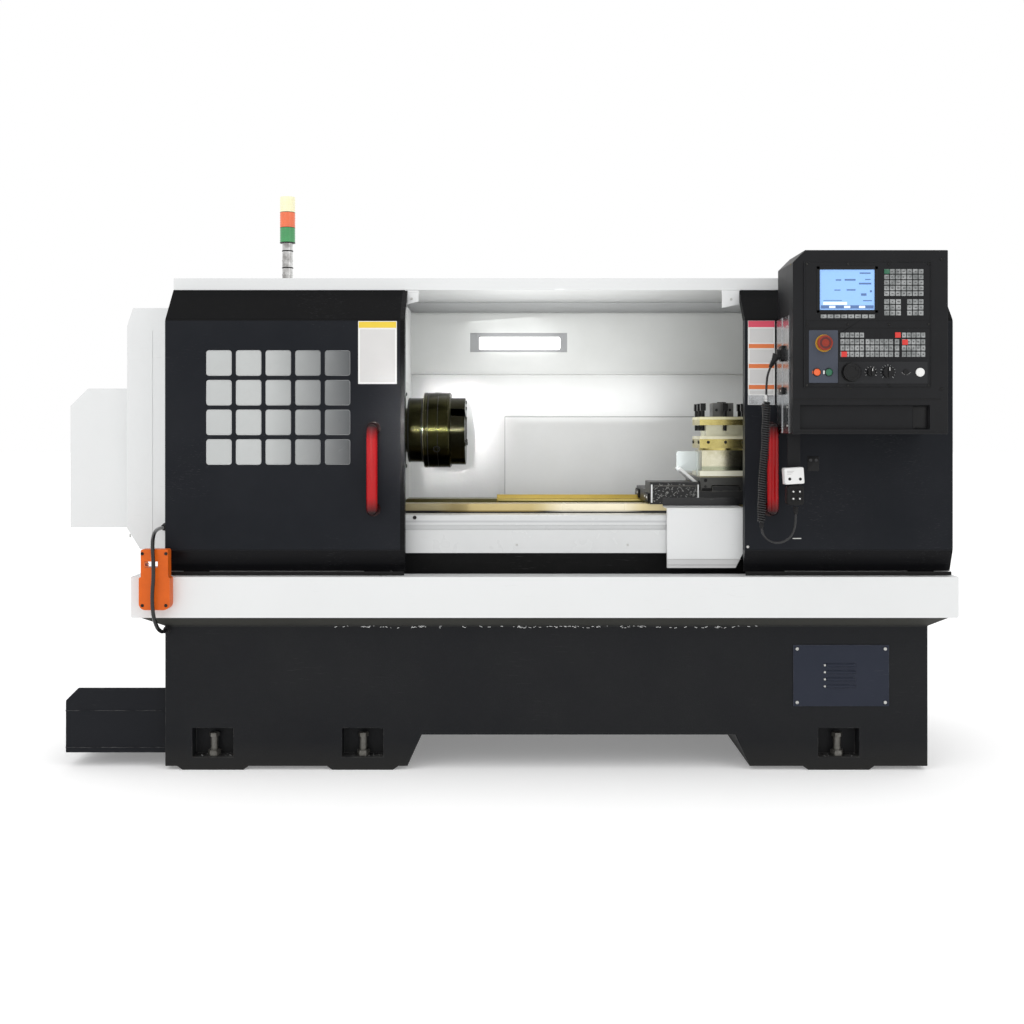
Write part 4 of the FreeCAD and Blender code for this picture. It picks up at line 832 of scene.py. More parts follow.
@dataclass
class Cords:
    """The pendant's lead with its curly stretch, and the cable from the belt guard."""

    lead_radius: float = 0.0035
    cable_radius: float = 0.006
    wire_radius: float = 0.0026
    curl_radius: float = 0.0108
    pitch: float = 0.0072
    around: int = 14

    def spline(self, name: str, route: list[Point], radius: float) -> bpy.types.Object:
        """Makes one smooth open curve along a route.

        Args:
            name: the curve's name.
            route: its control points.
            radius: the cord's radius, or 0 for a bare line.

        Returns:
            The curve object.
        """
        data = bpy.data.curves.new(name, "CURVE")
        data.dimensions = "3D"
        data.resolution_u = 12
        data.bevel_depth = radius
        data.bevel_resolution = 4
        data.use_fill_caps = True
        line = data.splines.new("NURBS")
        line.points.add(len(route) - 1)
        for place, point in zip(line.points, route):
            place.co = (*point, 1.0)
        line.order_u = 3
        line.use_endpoint_u = True
        data.materials.append(SHEATH.material())
        made = bpy.data.objects.new(name, data)
        bpy.context.scene.collection.objects.link(made)
        return made

    def followed(self, route: list[Point]) -> list[Vector]:
        """The points of a route's smooth line, in order.

        Args:
            route: the control points.

        Returns:
            Close points along the line.
        """
        bare = self.spline("bare_line", route, 0.0)
        bpy.context.view_layer.update()
        mesh = bpy.data.meshes.new_from_object(bare)
        points = [vertex.co.copy() for vertex in mesh.vertices]
        bpy.data.meshes.remove(mesh)
        bpy.data.objects.remove(bare)
        return points

    @staticmethod
    def length(points: list[Vector]) -> float:
        """The length of a line through points."""
        return sum((after - before).length for before, after in zip(points, points[1:]))

    def cord(self, name: str, route: list[Point], radius: float) -> None:
        """Lays one plain round cord.

        Args:
            name: the CAD node that it stands for.
            route: its control points.
            radius: its radius.
        """
        made = self.spline(name + "_cord", route, radius)
        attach(made, "machine")
        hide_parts(name)
        self.length(self.followed(route))
        LOG.info("%s: cord", name)

    def helix(self) -> list[Vector]:
        """The curly cord's own centreline, wound round its smooth route.

        Returns:
            The points of the helix.
        """
        route = self.followed(CURL)
        total = self.length(route)
        turns = round(total / self.pitch)
        steps = turns * self.around
        points = []
        travelled, leg = 0.0, 0
        for number in range(steps + 1):
            wanted = total * number / steps
            way = route[leg + 1] - route[leg]
            while leg < len(route) - 2 and travelled + way.length < wanted:
                travelled += way.length
                leg += 1
                way = route[leg + 1] - route[leg]
            centre = route[leg] + way.normalized() * (wanted - travelled)
            across = way.normalized().cross(Vector((1.0, 0.0, 0.0))).normalized()
            aside = across.cross(way.normalized())
            share = number / steps
            lift = min(1.0, share * 40, (1 - share) * 40)
            wide = self.curl_radius * lift * (1.0 + 0.06 * math.sin(share * 31.0))
            angle = math.tau * number / self.around
            points.append(centre + (across * math.cos(angle) + aside * math.sin(angle)) * wide)
        return points

    def curl(self) -> None:
        """Winds the curly stretch as one mesh tube.
        """
        points = self.helix()
        mesh = bmesh.new()
        rings = []
        sides = 8
        side = Vector((0.0, 0.0, 1.0))
        for number, point in enumerate(points):
            before, after = points[max(0, number - 1)], points[min(len(points) - 1, number + 1)]
            way = (after - before).normalized()
            first = way.cross(side).normalized()
            second = way.cross(first)
            rings.append([mesh.verts.new(point + (
                first * math.cos(math.tau * turn / sides)
                + second * math.sin(math.tau * turn / sides)) * self.wire_radius)
                for turn in range(sides)])
        for lower, upper in zip(rings, rings[1:]):
            for turn in range(sides):
                after = (turn + 1) % sides
                mesh.faces.new((lower[turn], lower[after], upper[after], upper[turn]))
        mesh.faces.new(rings[0][::-1])
        mesh.faces.new(rings[-1])
        bmesh.ops.recalc_face_normals(mesh, faces=mesh.faces)
        data = bpy.data.meshes.new("pendant_curl_cord")
        mesh.to_mesh(data)
        mesh.free()
        data.materials.append(SHEATH.material())
        data.shade_smooth()
        made = bpy.data.objects.new("pendant_curl_cord", data)
        bpy.context.scene.collection.objects.link(made)
        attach(made, "machine")
        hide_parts("pendant_curl")
        LOG.info("pendant_curl: %d turns", round(len(points) / self.around))

    def sleeves(self) -> list[bpy.types.Object]:
        """The plated connector above the curl and the collar below it.

        Returns:
            The two pieces.
        """
        made = []
        for name, top, finish, radius in (("lead_connector", CURL[0], PLATED, 0.0075),
                                          ("tail_collar", TAIL[0], NYLON, 0.0062)):
            maker = Maker(name, (finish,))
            start = Vector(top) + Vector((0.0, 0.0, 0.016))
            maker.turned(start, (0.0, 0.0, -1.0), [
                (0.0, radius * 0.62), (0.004, radius * 0.8), (0.006, radius), (0.012, radius),
                (0.013, radius * 0.86), (0.015, radius * 0.86), (0.016, radius), (0.025, radius),
                (0.027, radius * 0.8), (0.030, radius * 0.7)], sides=24)
            made.append(maker.place("machine", "gland_plastic"))
        return made

    def relief(self, name: str, exit_point: Point, away: Point, long: float,
               foot: float) -> bpy.types.Object:
        """A ribbed taper where a cord leaves a housing.

        Args:
            name: the piece's name.
            exit_point: where the cord leaves.
            away: the direction that it leaves in.
            long: the taper's length.
            foot: the radius at its foot.

        Returns:
            The piece.
        """
        maker = Maker(name, (NYLON,))
        tip = self.lead_radius + 0.0012 if foot < 0.012 else self.cable_radius + 0.0012
        profile = [(0.0, foot)]
        ribs = 5
        for number in range(ribs):
            share = (number + 0.5) / ribs
            radius = foot + (tip - foot) * share
            profile += [(long * (number + 0.35) / ribs, radius + 0.0008),
                        (long * (number + 0.65) / ribs, radius + 0.0008),
                        (long * (number + 0.7) / ribs, radius - 0.0006),
                        (long * (number + 1.0) / ribs, radius - 0.0006)]
        profile.append((long, tip))
        maker.turned(exit_point, away, profile, sides=24)
        return maker.place("machine", "gland_plastic")

    def build(self) -> None:
        """Lays the three stretches of the pendant's cord and the guard's cable."""
        connector, collar = self.sleeves()
        start = Vector(LEAD[1]) - Vector(LEAD[0])
        boot = self.relief("gland_taper", LEAD[0], tuple(start.normalized()), 0.020, 0.0078)
        entry = self.relief("pendant_taper", TAIL[-1], (0.0, 0.0, -1.0), 0.022, 0.0075)
        guard_boot = self.relief("cable_taper", GUARD_CABLE[0], (0.0, -1.0, 0.0), 0.040, 0.0125)
        base_boot = self.relief("cable_entry", GUARD_CABLE[-1], (0.0, -1.0, 0.0), 0.020, 0.0122)
        self.cord("pendant_lead", LEAD, self.lead_radius)
        self.curl()
        self.cord("pendant_tail", TAIL, self.lead_radius)
        self.cord("guard_cable", GUARD_CABLE, self.cable_radius)


# ------------------------------------------------------------------ finishes of the machine

SHEET_WHITE = Finish("white_powder_coat", WHITE, 0.36, tone=(0.725, 0.735, 0.735), tone_scale=1.6,
                     wave=0.0012, scuff=0.18, scuff_colour=(0.55, 0.55, 0.54), dust=0.12,
                     edge=0.25, edge_colour=(0.62, 0.62, 0.60), coat=0.12)
GUARD_GREY = Finish("pale_powder_coat", (0.70, 0.71, 0.71), 0.42, tone=(0.66, 0.67, 0.67),
                    tone_scale=1.4, wave=0.0012, scuff=0.15, dust=0.12, edge=0.25,
                    edge_colour=(0.55, 0.55, 0.53))
INNER_WHITE = Finish("splashed_white_coat", (0.82, 0.83, 0.83), 0.24, tone=(0.70, 0.71, 0.70),
                     tone_scale=2.6, contrast=1.5, wave=0.0022, scuff=0.15,
                     scuff_colour=(0.60, 0.60, 0.58), coat=0.12,
                     zones=(Zone((-FAR, 0.3985, 0.0), (FAR, FAR, FAR), (0.74, 0.75, 0.75),
                                 0.4),))
# Painted shade: the beam's sheet is made grey for the shade that the roof's front edge casts on
# it.
BEAM_SHADE_GREY = Finish("beam_shade_grey_coat", (0.55, 0.56, 0.55), 0.38, tone=(0.47, 0.48, 0.47),
                   wave=0.0014, scuff=0.12)
BASE_ENAMEL = Finish("base_enamel", (0.0082, 0.0090, 0.0110), 0.43, grain=Grain.CAST,
                     tone=(0.0140, 0.0146, 0.0158), tone_scale=2.4, wave=0.002, scuff=0.22,
                     scuff_colour=(0.045, 0.045, 0.045), dust=0.1, edge=0.55,
                     edge_colour=(0.16, 0.16, 0.15), edge_radius=0.003, gloss=0.12,
                     zones=(Zone((-FAR, -FAR, 0.452), (FAR, FAR, 0.486), (0.052, 0.052, 0.047),
                                 0.5, soft=0.012),
                            below(0.05, (0.028, 0.027, 0.025), roughness=0.7, soft=0.08,
                                  amount=0.6)))
TANK_ENAMEL = Finish("tank_enamel", (0.0075, 0.0083, 0.0108), 0.38, tone=(0.011, 0.012, 0.015),
                     wave=0.0025, scuff=0.3, scuff_colour=(0.045, 0.045, 0.045), dust=0.04,
                     edge=0.4, gloss=0.12)
PLATE_ENAMEL = Finish("plate_blue_grey", (0.019, 0.023, 0.036), 0.36,
                      tone=(0.025, 0.029, 0.043), wave=0.0006, scuff=0.2,
                      scuff_colour=(0.10, 0.10, 0.11), edge=0.4,
                      edge_colour=(0.2, 0.2, 0.22), gloss=0.12)
ZINC = Finish("zinc_plate", (0.62, 0.62, 0.60), 0.3, 1.0, grain=Grain.MOULDED,
              tone=(0.45, 0.45, 0.43), tone_scale=60.0)
DULL_ZINC = Finish("dull_zinc", (0.20, 0.195, 0.18), 0.55, 1.0, grain=Grain.CAST,
                   tone=(0.10, 0.095, 0.085), tone_scale=40.0, dust=0.4)
DOOR_COAT = Finish("door_textured_coat", (0.0082, 0.0096, 0.0128), 0.40,
                   grain=Grain.TEXTURED, tone=(0.0135, 0.0148, 0.0185), tone_scale=3.6,
                   contrast=2.4, wave=0.0016, scuff=0.7, scuff_colour=(0.065, 0.065, 0.068),
                   scuff_scale=60.0, edge=0.35, edge_colour=(0.08, 0.08, 0.08),
                   gloss=0.10,
                   # Painted shade: everything above 1.403, the door's upper slope, is made near
                   # black.
                   zones=(above(1.403, (0.0012, 0.0013, 0.0018), roughness=0.6),
                          # Painted shade: the lower lip, from the crease at 0.688 down, is made
                          # darker where it curves in under the door.
                          Zone((-FAR, -FAR, 0.60), (FAR, FAR, 0.688),
                               (0.0060, 0.0060, 0.0070), 0.2, soft=0.004),
                          Zone((-0.312, -FAR, 0.0), (-0.28, FAR, FAR),
                               (0.0042, 0.0042, 0.0048), 0.22, soft=0.001)))
CONSOLE_COAT = Finish("console_textured_coat", (0.0085, 0.0087, 0.0098), 0.48,
                      grain=Grain.TEXTURED, tone=(0.0135, 0.0138, 0.0150), tone_scale=5.0,
                      scuff=0.15, scuff_colour=(0.04, 0.04, 0.04), dust=0.05, edge=0.3,
                      edge_colour=(0.06, 0.06, 0.06), gloss=0.15)
PANEL_FILM = Finish("panel_film", (0.0140, 0.0145, 0.0160), 0.34, grain=Grain.MOULDED,
                    tone=(0.0165, 0.017, 0.019), gloss=0.2)
CONTROL_BLUE = Finish("control_blue_grey", (0.050, 0.058, 0.080), 0.38, grain=Grain.MOULDED,
                      tone=(0.058, 0.066, 0.088), gloss=0.25)
# Painted reflection: the panes' pale grey, which fades darker towards the right of the window.
PANE = Finish("window_pane", (0.58, 0.595, 0.59), 0.2, grain=Grain.GLOSS,
              tone=(0.48, 0.495, 0.49), tone_scale=2.0, gloss=0.4, coat=0.15, alpha=0.92,
              zones=(Zone((-0.60, -FAR, 0.0), (FAR, FAR, FAR), (0.085, 0.091, 0.096),
                          soft=0.28),))
# Painted highlight: a lighter rim round each pane, also darker towards the right.
PANE_RIM_HIGHLIGHT = Finish("pane_rim_highlight", (0.62, 0.63, 0.63), 0.2, grain=Grain.GLOSS,
                   tone=(0.50, 0.51, 0.51), gloss=0.4,
                   zones=(Zone((-0.66, -FAR, 0.0), (FAR, FAR, FAR), (0.26, 0.27, 0.275),
                               soft=0.2),))
HANDLE_RED = Finish("handle_red_gloss", (0.46, 0.006, 0.009), 0.2, grain=Grain.GLOSS,
                    tone=(0.36, 0.004, 0.006), tone_scale=8.0, gloss=0.22, coat=0.14,
                    coat_roughness=0.05,
                    # Painted shade: the red darkens towards both ends of the bar, where it bends
                    # back to the door.
                    zones=(above(1.052, (0.012, 0.0008, 0.0010), soft=0.045),
                           below(0.832, (0.012, 0.0008, 0.0010), soft=0.045),
                           Zone((-FAR, -0.506, 0.0), (FAR, -0.46, FAR), (0.02, 0.001, 0.001),
                                soft=0.010)))
WAY_IRON = Finish("bed_iron", (0.0085, 0.0085, 0.0095), 0.5, grain=Grain.CAST,
                  tone=(0.020, 0.020, 0.020), tone_scale=7.0, gloss=0.25, scuff=0.4,
                  scuff_colour=(0.12, 0.12, 0.12), edge=0.5,
                  edge_colour=(0.20, 0.19, 0.15),
                  zones=(Zone((-0.905, -0.272, 0.800), (1.30, -0.186, 0.83),
                              (0.46, 0.39, 0.22), 0.34, 0.25),
                         Zone((-0.905, 0.036, 0.788), (1.30, 0.134, 0.84),
                              (0.42, 0.30, 0.055), 0.3, 0.3),
                         Zone((-0.905, 0.036, 0.788), (-0.018, 0.134, 0.84),
                              (0.12, 0.105, 0.035), 0.3, 0.3),
                         Zone((-0.16, -0.272, 0.800), (0.10, -0.186, 0.83),
                              (0.30, 0.21, 0.05), 0.3, 0.25, soft=0.10),
                         Zone((0.20, -0.272, 0.800), (0.40, -0.186, 0.83),
                              (0.70, 0.66, 0.55), 0.2, 0.25, soft=0.12)))
SCREW_STEEL = Finish("ground_screw", (0.50, 0.49, 0.46), 0.26, 1.0, grain=Grain.TURNED_X,
                     tone=(0.36, 0.34, 0.28), tone_scale=9.0)
COVER_WHITE = Finish("cover_white", (0.66, 0.67, 0.67), 0.28, tone=(0.60, 0.61, 0.61),
                     tone_scale=2.2, wave=0.0010, scuff=0.3, scuff_colour=(0.5, 0.5, 0.48),
                     dust=0.1, coat=0.3, edge=0.3,
                     # Painted shade: two grey bands at the fold between the cover's face and its
                     # sloping top.
                     zones=(Zone((-FAR, -0.3915, 0.745), (FAR, -0.37, 0.764),
                                 (0.36, 0.37, 0.38), 0.3),
                            Zone((-FAR, -FAR, 0.770), (FAR, -0.385, 0.776),
                                 (0.52, 0.53, 0.54), 0.3, soft=0.004)))
HEAD_WHITE = Finish("headstock_enamel", (0.68, 0.69, 0.68), 0.4, grain=Grain.CAST,
                    tone=(0.60, 0.61, 0.60), wave=0.001, scuff=0.2, dust=0.2, coat=0.15)
MOTOR_GREY = Finish("motor_enamel", (0.09, 0.10, 0.115), 0.45, grain=Grain.CAST,
                    tone=(0.12, 0.13, 0.14), dust=0.5, scuff=0.2)
BEARING = Finish("bearing_steel", (0.60, 0.60, 0.58), 0.22, 1.0, grain=Grain.TURNED_X)
PULLEY = Finish("turned_aluminium", (0.62, 0.62, 0.63), 0.32, 1.0, grain=Grain.TURNED_X,
                tone=(0.52, 0.52, 0.53))
OILED = Finish("oiled_spindle_steel", (0.036, 0.035, 0.015), 0.22, 1.0, grain=Grain.TURNED_X,
               tone=(0.020, 0.019, 0.008), tone_scale=12.0, edge=0.4,
               edge_colour=(0.3, 0.29, 0.22))
CHUCK = Finish("chuck_oiled_steel", (0.023, 0.0225, 0.0080), 0.2, 1.0, grain=Grain.TURNED_X,
               tone=(0.013, 0.0125, 0.0045), tone_scale=14.0, contrast=3.0, edge=0.4,
               edge_colour=(0.30, 0.29, 0.22), edge_radius=0.0015,
               zones=(Zone((-0.2635, -FAR, 0.0), (-0.2585, FAR, FAR), (0.22, 0.21, 0.13), 0.2,
                           soft=0.0015),))
JAW = Finish("jaw_steel", (0.019, 0.0185, 0.011), 0.22, 1.0, grain=Grain.TURNED_X,
             tone=(0.013, 0.0125, 0.007), tone_scale=22.0, contrast=3.0, edge=0.5,
             edge_colour=(0.34, 0.33, 0.27), edge_radius=0.0012)
SADDLE_BLACK = Finish("saddle_black", (0.0075, 0.0075, 0.0082), 0.38, grain=Grain.CAST,
                      tone=(0.016, 0.016, 0.016), tone_scale=14.0, scuff=0.5,
                      scuff_colour=(0.10, 0.10, 0.095), dust=0.15, edge=0.7,
                      edge_colour=(0.24, 0.23, 0.2), gloss=0.35)
SLIDE_IRON = Finish("slide_ground_iron", (0.10, 0.10, 0.095), 0.36, 0.85,
                    grain=Grain.GROUND_Y, tone=(0.055, 0.055, 0.052), tone_scale=10.0,
                    edge=0.6, edge_colour=(0.45, 0.43, 0.36),
                    zones=(above(0.909, (0.34, 0.31, 0.20), roughness=0.26, metallic=1.0),))
POST_STEEL = Finish("polished_post_steel", (0.68, 0.65, 0.50), 0.17, 1.0,
                    grain=Grain.GROUND_X, tone=(0.46, 0.42, 0.24), tone_scale=11.0,
                    contrast=3.2, edge=0.4, edge_colour=(0.75, 0.72, 0.6),
                    # Painted highlight: the pale band below 0.9305. Painted reflection: the
                    # grey-green band above it.
                    zones=(below(0.9305, (0.92, 0.90, 0.74), roughness=0.3, metallic=0.5),
                           Zone((-FAR, -FAR, 0.9305), (FAR, FAR, 0.944),
                                (0.40, 0.42, 0.30), soft=0.006)))
TURRET_STEEL = Finish("turret_oiled_steel", (0.70, 0.60, 0.24), 0.24, 1.0,
                      grain=Grain.GROUND_X, tone=(0.50, 0.42, 0.15), tone_scale=13.0,
                      contrast=3.0, edge=0.6, edge_colour=(0.85, 0.80, 0.6),
                      # Painted light: a pale band where light shows through between the turret's
                      # plates.
                      zones=(Zone((0.60, -0.268, 1.041), (0.86, -0.10, 1.079),
                                  (0.82, 0.80, 0.60), 0.3, metallic=0.6, soft=0.001),
                             # Painted highlights: the two thin bright bands along the plates'
                             # upper edges.
                             Zone((-FAR, -FAR, 1.0330), (FAR, FAR, 1.0420),
                                  (0.93, 0.89, 0.66), 0.3, metallic=0.5, soft=0.001),
                             Zone((-FAR, -FAR, 1.0965), (FAR, FAR, 1.1060),
                                  (0.90, 0.85, 0.55), 0.3, metallic=0.5, soft=0.001),
                             above(1.1055, (0.16, 0.16, 0.155), roughness=0.42,
                                   metallic=0.9)))
BLACK_SCREW = Finish("blackened_screw", (0.010, 0.010, 0.010), 0.34, 0.6,
                     grain=Grain.MOULDED, edge=0.6, edge_colour=(0.25, 0.24, 0.22),
                     edge_radius=0.0008)
TAIL_IRON = Finish("tailstock_enamel", (0.62, 0.63, 0.62), 0.42, grain=Grain.CAST,
                   tone=(0.55, 0.56, 0.55), dust=0.25, scuff=0.2)
QUILL = Finish("quill_steel", (0.60, 0.60, 0.58), 0.18, 1.0, grain=Grain.TURNED_X,
               tone=(0.48, 0.47, 0.43))
CHROME = Finish("beacon_chrome", (0.72, 0.72, 0.71), 0.16, 1.0, grain=Grain.GLOSS,
                tone=(0.30, 0.29, 0.28), tone_scale=26.0, contrast=4.0)
LENSES = Finish("beacon_lenses", (0.90, 0.86, 0.52), 0.2, grain=Grain.GLOSS,
                tone=(0.88, 0.85, 0.62), tone_scale=30.0, gloss=0.5, coat=0.3,
                coat_roughness=0.06, glow=0.03, glow_colour=(1.0, 0.95, 0.85),
                zones=(below(1.773, (0.85, 0.155, 0.045), soft=0.001),
                       below(1.723, (0.030, 0.30, 0.085), soft=0.001)))
DIFFUSER = Finish("lamp_diffuser", (0.95, 0.95, 0.93), 0.5, grain=Grain.MOULDED, glow=2.6)
LAMP_BODY = Finish("lamp_body", (0.27, 0.275, 0.28), 0.4, grain=Grain.MOULDED,
                   tone=(0.22, 0.225, 0.23))
SCREEN = Finish("screen_glow", (0.25, 0.47, 0.90), 0.12, grain=Grain.GLOSS,
                tone=(0.28, 0.50, 0.92), tone_scale=5.0, coat=0.2, glow=0.16,
                glow_colour=(0.36, 0.60, 1.0))
EXTRUSION = Finish("brushed_extrusion", (0.58, 0.59, 0.60), 0.26, 1.0, grain=Grain.GROUND_Z,
                   tone=(0.45, 0.46, 0.47), tone_scale=6.0)
STOP_RED = Finish("stop_red", (0.30, 0.030, 0.012), 0.36, grain=Grain.GLOSS,
                  tone=(0.20, 0.018, 0.010), gloss=0.3, coat=0.1)
STOP_YELLOW = Finish("stop_yellow", (0.48, 0.25, 0.025), 0.42, grain=Grain.MOULDED,
                     gloss=0.3)
ORANGE_KEY = Finish("orange_key", (0.80, 0.115, 0.015), 0.3, grain=Grain.MOULDED, coat=0.4)
GREEN_KEY = Finish("green_key", (0.006, 0.12, 0.055), 0.3, grain=Grain.MOULDED, coat=0.4)
KNOB_BLACK = Finish("knob_black", (0.0055, 0.0055, 0.006), 0.36, grain=Grain.MOULDED,
                    edge=0.3, edge_colour=(0.05, 0.05, 0.05), gloss=0.25)
KEY_PALE = Finish("key_pale", (0.35, 0.36, 0.36), 0.42, grain=Grain.MOULDED,
                  tone=(0.17, 0.18, 0.18), tone_scale=45.0, contrast=4.0, gloss=0.3)
KEY_DARK = Finish("key_dark", (0.06, 0.062, 0.065), 0.42, grain=Grain.MOULDED,
                  tone=(0.16, 0.16, 0.16), tone_scale=70.0, gloss=0.3)
KEY_RED = Finish("key_red", (0.66, 0.030, 0.022), 0.38, grain=Grain.MOULDED)
PRINT_WHITE = Finish("print_white", (0.80, 0.80, 0.79), 0.4, grain=Grain.MOULDED,
                     tone=(0.76, 0.76, 0.74))
PRINT_GREY = Finish("print_grey", (0.38, 0.37, 0.37), 0.5, grain=Grain.MOULDED)
PRINT_PALE = Finish("print_pale", (0.66, 0.65, 0.64), 0.5, grain=Grain.MOULDED)
PRINT_YELLOW = Finish("print_yellow", (0.80, 0.58, 0.045), 0.42, grain=Grain.MOULDED)
PRINT_PINK = Finish("print_pink", (0.72, 0.075, 0.13), 0.42, grain=Grain.MOULDED)
PRINT_ORANGE = Finish("print_orange", (0.78, 0.20, 0.055), 0.42, grain=Grain.MOULDED)
PENDANT_WHITE = Finish("pendant_white", (0.78, 0.78, 0.77), 0.34, grain=Grain.MOULDED,
                       tone=(0.70, 0.70, 0.69), tone_scale=20.0, edge=0.3)
HOOK_ORANGE = Finish("hook_orange", (0.74, 0.130, 0.008), 0.42, grain=Grain.MOULDED,
                     tone=(0.60, 0.100, 0.007), tone_scale=16.0, gloss=0.25, scuff=0.3,
                     scuff_colour=(0.85, 0.45, 0.2), edge=0.4, edge_colour=(0.9, 0.4, 0.12))
RUBBER = Finish("seal_rubber", (0.0055, 0.0055, 0.0060), 0.6, grain=Grain.CAST,
                tone=(0.010, 0.010, 0.010), tone_scale=18.0, gloss=0.2)
CLEAR_SHEET = Finish("clear_shield", (0.80, 0.86, 0.86), 0.08, grain=Grain.GLOSS,
                     tone=(0.72, 0.80, 0.80), coat=0.3, alpha=0.45)
BELT = Finish("drive_belt", (0.012, 0.012, 0.013), 0.7, grain=Grain.GROUND_X,
              tone=(0.022, 0.022, 0.022), tone_scale=10.0)
APRON_WHITE = Finish("apron_white", (0.74, 0.75, 0.75), 0.34, tone=(0.69, 0.70, 0.70),
                     tone_scale=2.6, wave=0.0010, scuff=0.2, scuff_colour=(0.5, 0.5, 0.48),
                     dust=0.1, coat=0.2, edge=0.3, edge_colour=(0.55, 0.55, 0.53),
                     zones=(below(0.656, (0.60, 0.60, 0.60), soft=0.003),
                            above(0.8175, (0.008, 0.008, 0.009), soft=0.0005)))
COVER_WHITE_PLAIN = Finish("deflector_white", (0.84, 0.85, 0.84), 0.3,
                           tone=(0.76, 0.77, 0.76), tone_scale=9.0, coat=0.3)
SPATTER = Finish("dried_spatter", (0.20, 0.20, 0.19), 0.6, grain=Grain.CAST,
                 tone=(0.42, 0.42, 0.40), tone_scale=60.0)
CHARCOAL_TRIM = Finish("charcoal_trim", (0.022, 0.022, 0.024), 0.3, grain=Grain.MOULDED)
BRASSY = Finish("oiled_way_edge", (0.46, 0.38, 0.13), 0.3, 1.0, grain=Grain.GROUND_X,
                tone=(0.30, 0.25, 0.09), tone_scale=9.0)
DARK_RED = Finish("dark_red", (0.085, 0.006, 0.006), 0.35, grain=Grain.MOULDED)
SCREEN_INK = Finish("screen_ink", (0.080, 0.150, 0.330), 0.2, grain=Grain.GLOSS, glow=0.10,
                    glow_colour=(0.30, 0.50, 0.95))
SCREEN_PALE = Finish("screen_pale", (0.72, 0.84, 0.97), 0.2, grain=Grain.GLOSS, glow=0.35,
                     glow_colour=(0.80, 0.90, 1.0))


# ------------------------------------------------------------------ sub-assemblies

FRONT: Point = (0.0, -1.0, 0.0)
REAR: Point = (0.0, 1.0, 0.0)
RIGHT: Point = (1.0, 0.0, 0.0)
LEFT: Point = (-1.0, 0.0, 0.0)
UP: Point = (0.0, 0.0, 1.0)


@dataclass
class Base:
    """The casting, the tray and the tank that the machine stands on."""

    chips: int = 110
    niches: tuple[float, ...] = (-0.900, -0.432, 1.056)
    louvres: tuple[float, ...] = (0.262, 0.284, 0.306, 0.328)

    def build(self) -> None:
        """Dresses the nodes and adds screws, swarf and seams."""
        dress({"base_casting": BASE_ENAMEL, "coolant_tank": TANK_ENAMEL}, 0.0025)
        dress({"access_plate": PLATE_ENAMEL, "levelling_bolts": DULL_ZINC,
               "drip_tray": SHEET_WHITE}, 0.0012)
        self.plate_screws()
        self.swarf()
        self.tank_trim()
        self.lock_nuts()

    def plate_screws(self) -> None:
        """Corner screws of the access plate and the bright ends of its louvres."""
        made = Maker("access_plate_screws", (ZINC, PLATE_ENAMEL))
        for x in (0.925, 1.200):
            for z in (0.212, 0.379):
                made.screw((x, -0.443, z), FRONT, 0.0055)
        for z in self.louvres:
            made.turned((1.012, -0.443, z), FRONT, [(0.0, 0.0042), (0.0016, 0.0030),
                                                    (0.0022, 0.0)], sides=12)
            made.turned((1.020, -0.4432, z + 0.004), RIGHT,
                        [(0.0, 0.0), (0.002, 0.0018), (0.080, 0.0018), (0.082, 0.0)], 1,
                        sides=10)
        made.place("machine", "zinc_steel")

    def swarf(self) -> None:
        """Bright chips caught under the tray's lip and in the niches."""
        chance = random.Random(11)
        made = Maker("swarf", (PLATED, INNER_WHITE))
        for number in range(self.chips):
            x = chance.uniform(-0.53, 0.80) if number % 4 else chance.uniform(0.0, 0.45)
            z = 0.4488 + chance.uniform(-0.0045, 0.0018)
            size = chance.uniform(0.0012, 0.0050)
            turn = Matrix.Translation((x, -0.4408, z)) @ Matrix.Rotation(
                chance.uniform(-0.5, 0.5), 4, "Y")
            made.block((-size, -0.0006, -0.0008), (size, 0.0004, 0.0007), 0.0003,
                       number % 2, turn, segments=1)
        for jack in self.niches:
            for _ in range(14):
                x = jack + chance.uniform(-0.058, -0.016) * chance.choice((-1, 1))
                spot = Matrix.Translation((x, chance.uniform(-0.434, -0.398), 0.0421))
                made.block((-0.0022, -0.0014, -0.0010), (0.0022, 0.0014, 0.0010), 0.0004, 0,
                           spot @ Matrix.Rotation(chance.uniform(0, 3), 4, "Z"), segments=1)
        made.place("machine", "zinc_steel")

    def tank_trim(self) -> None:
        """The lid's folded hem and the tank's lifting handle."""
        made = Maker("tank_trim", (TANK_ENAMEL, DULL_ZINC))
        made.block((-1.330, -0.4022, 0.2455), (-1.051, -0.3990, 0.2495), 0.0008)
        made.block((-1.374, -0.4018, 0.176), (-1.051, -0.3992, 0.1785), 0.0006)
        made.block((-1.374, -0.4018, 0.060), (-1.051, -0.3992, 0.0620), 0.0006)
        for y in (-0.16, 0.06):
            made.block((-1.3795, y, 0.120), (-1.3725, y + 0.016, 0.136), 0.002, 1)
        made.block((-1.3830, -0.16, 0.123), (-1.3775, 0.076, 0.133), 0.002, 1)
        made.place("machine", "tank_paint")

    def lock_nuts(self) -> None:
        """Lock nuts over the levelling screws in the front niches."""
        made = Maker("lock_nuts", (DULL_ZINC,))
        for jack in self.niches:
            hexagon = [(jack + 0.021 * math.cos(math.tau * n / 6),
                        -0.415 + 0.021 * math.sin(math.tau * n / 6)) for n in range(6)]
            made.plate(hexagon, "XY", 0.0412, 0.0540, 0, 0.0015)
        made.place("machine", "zinc_steel")


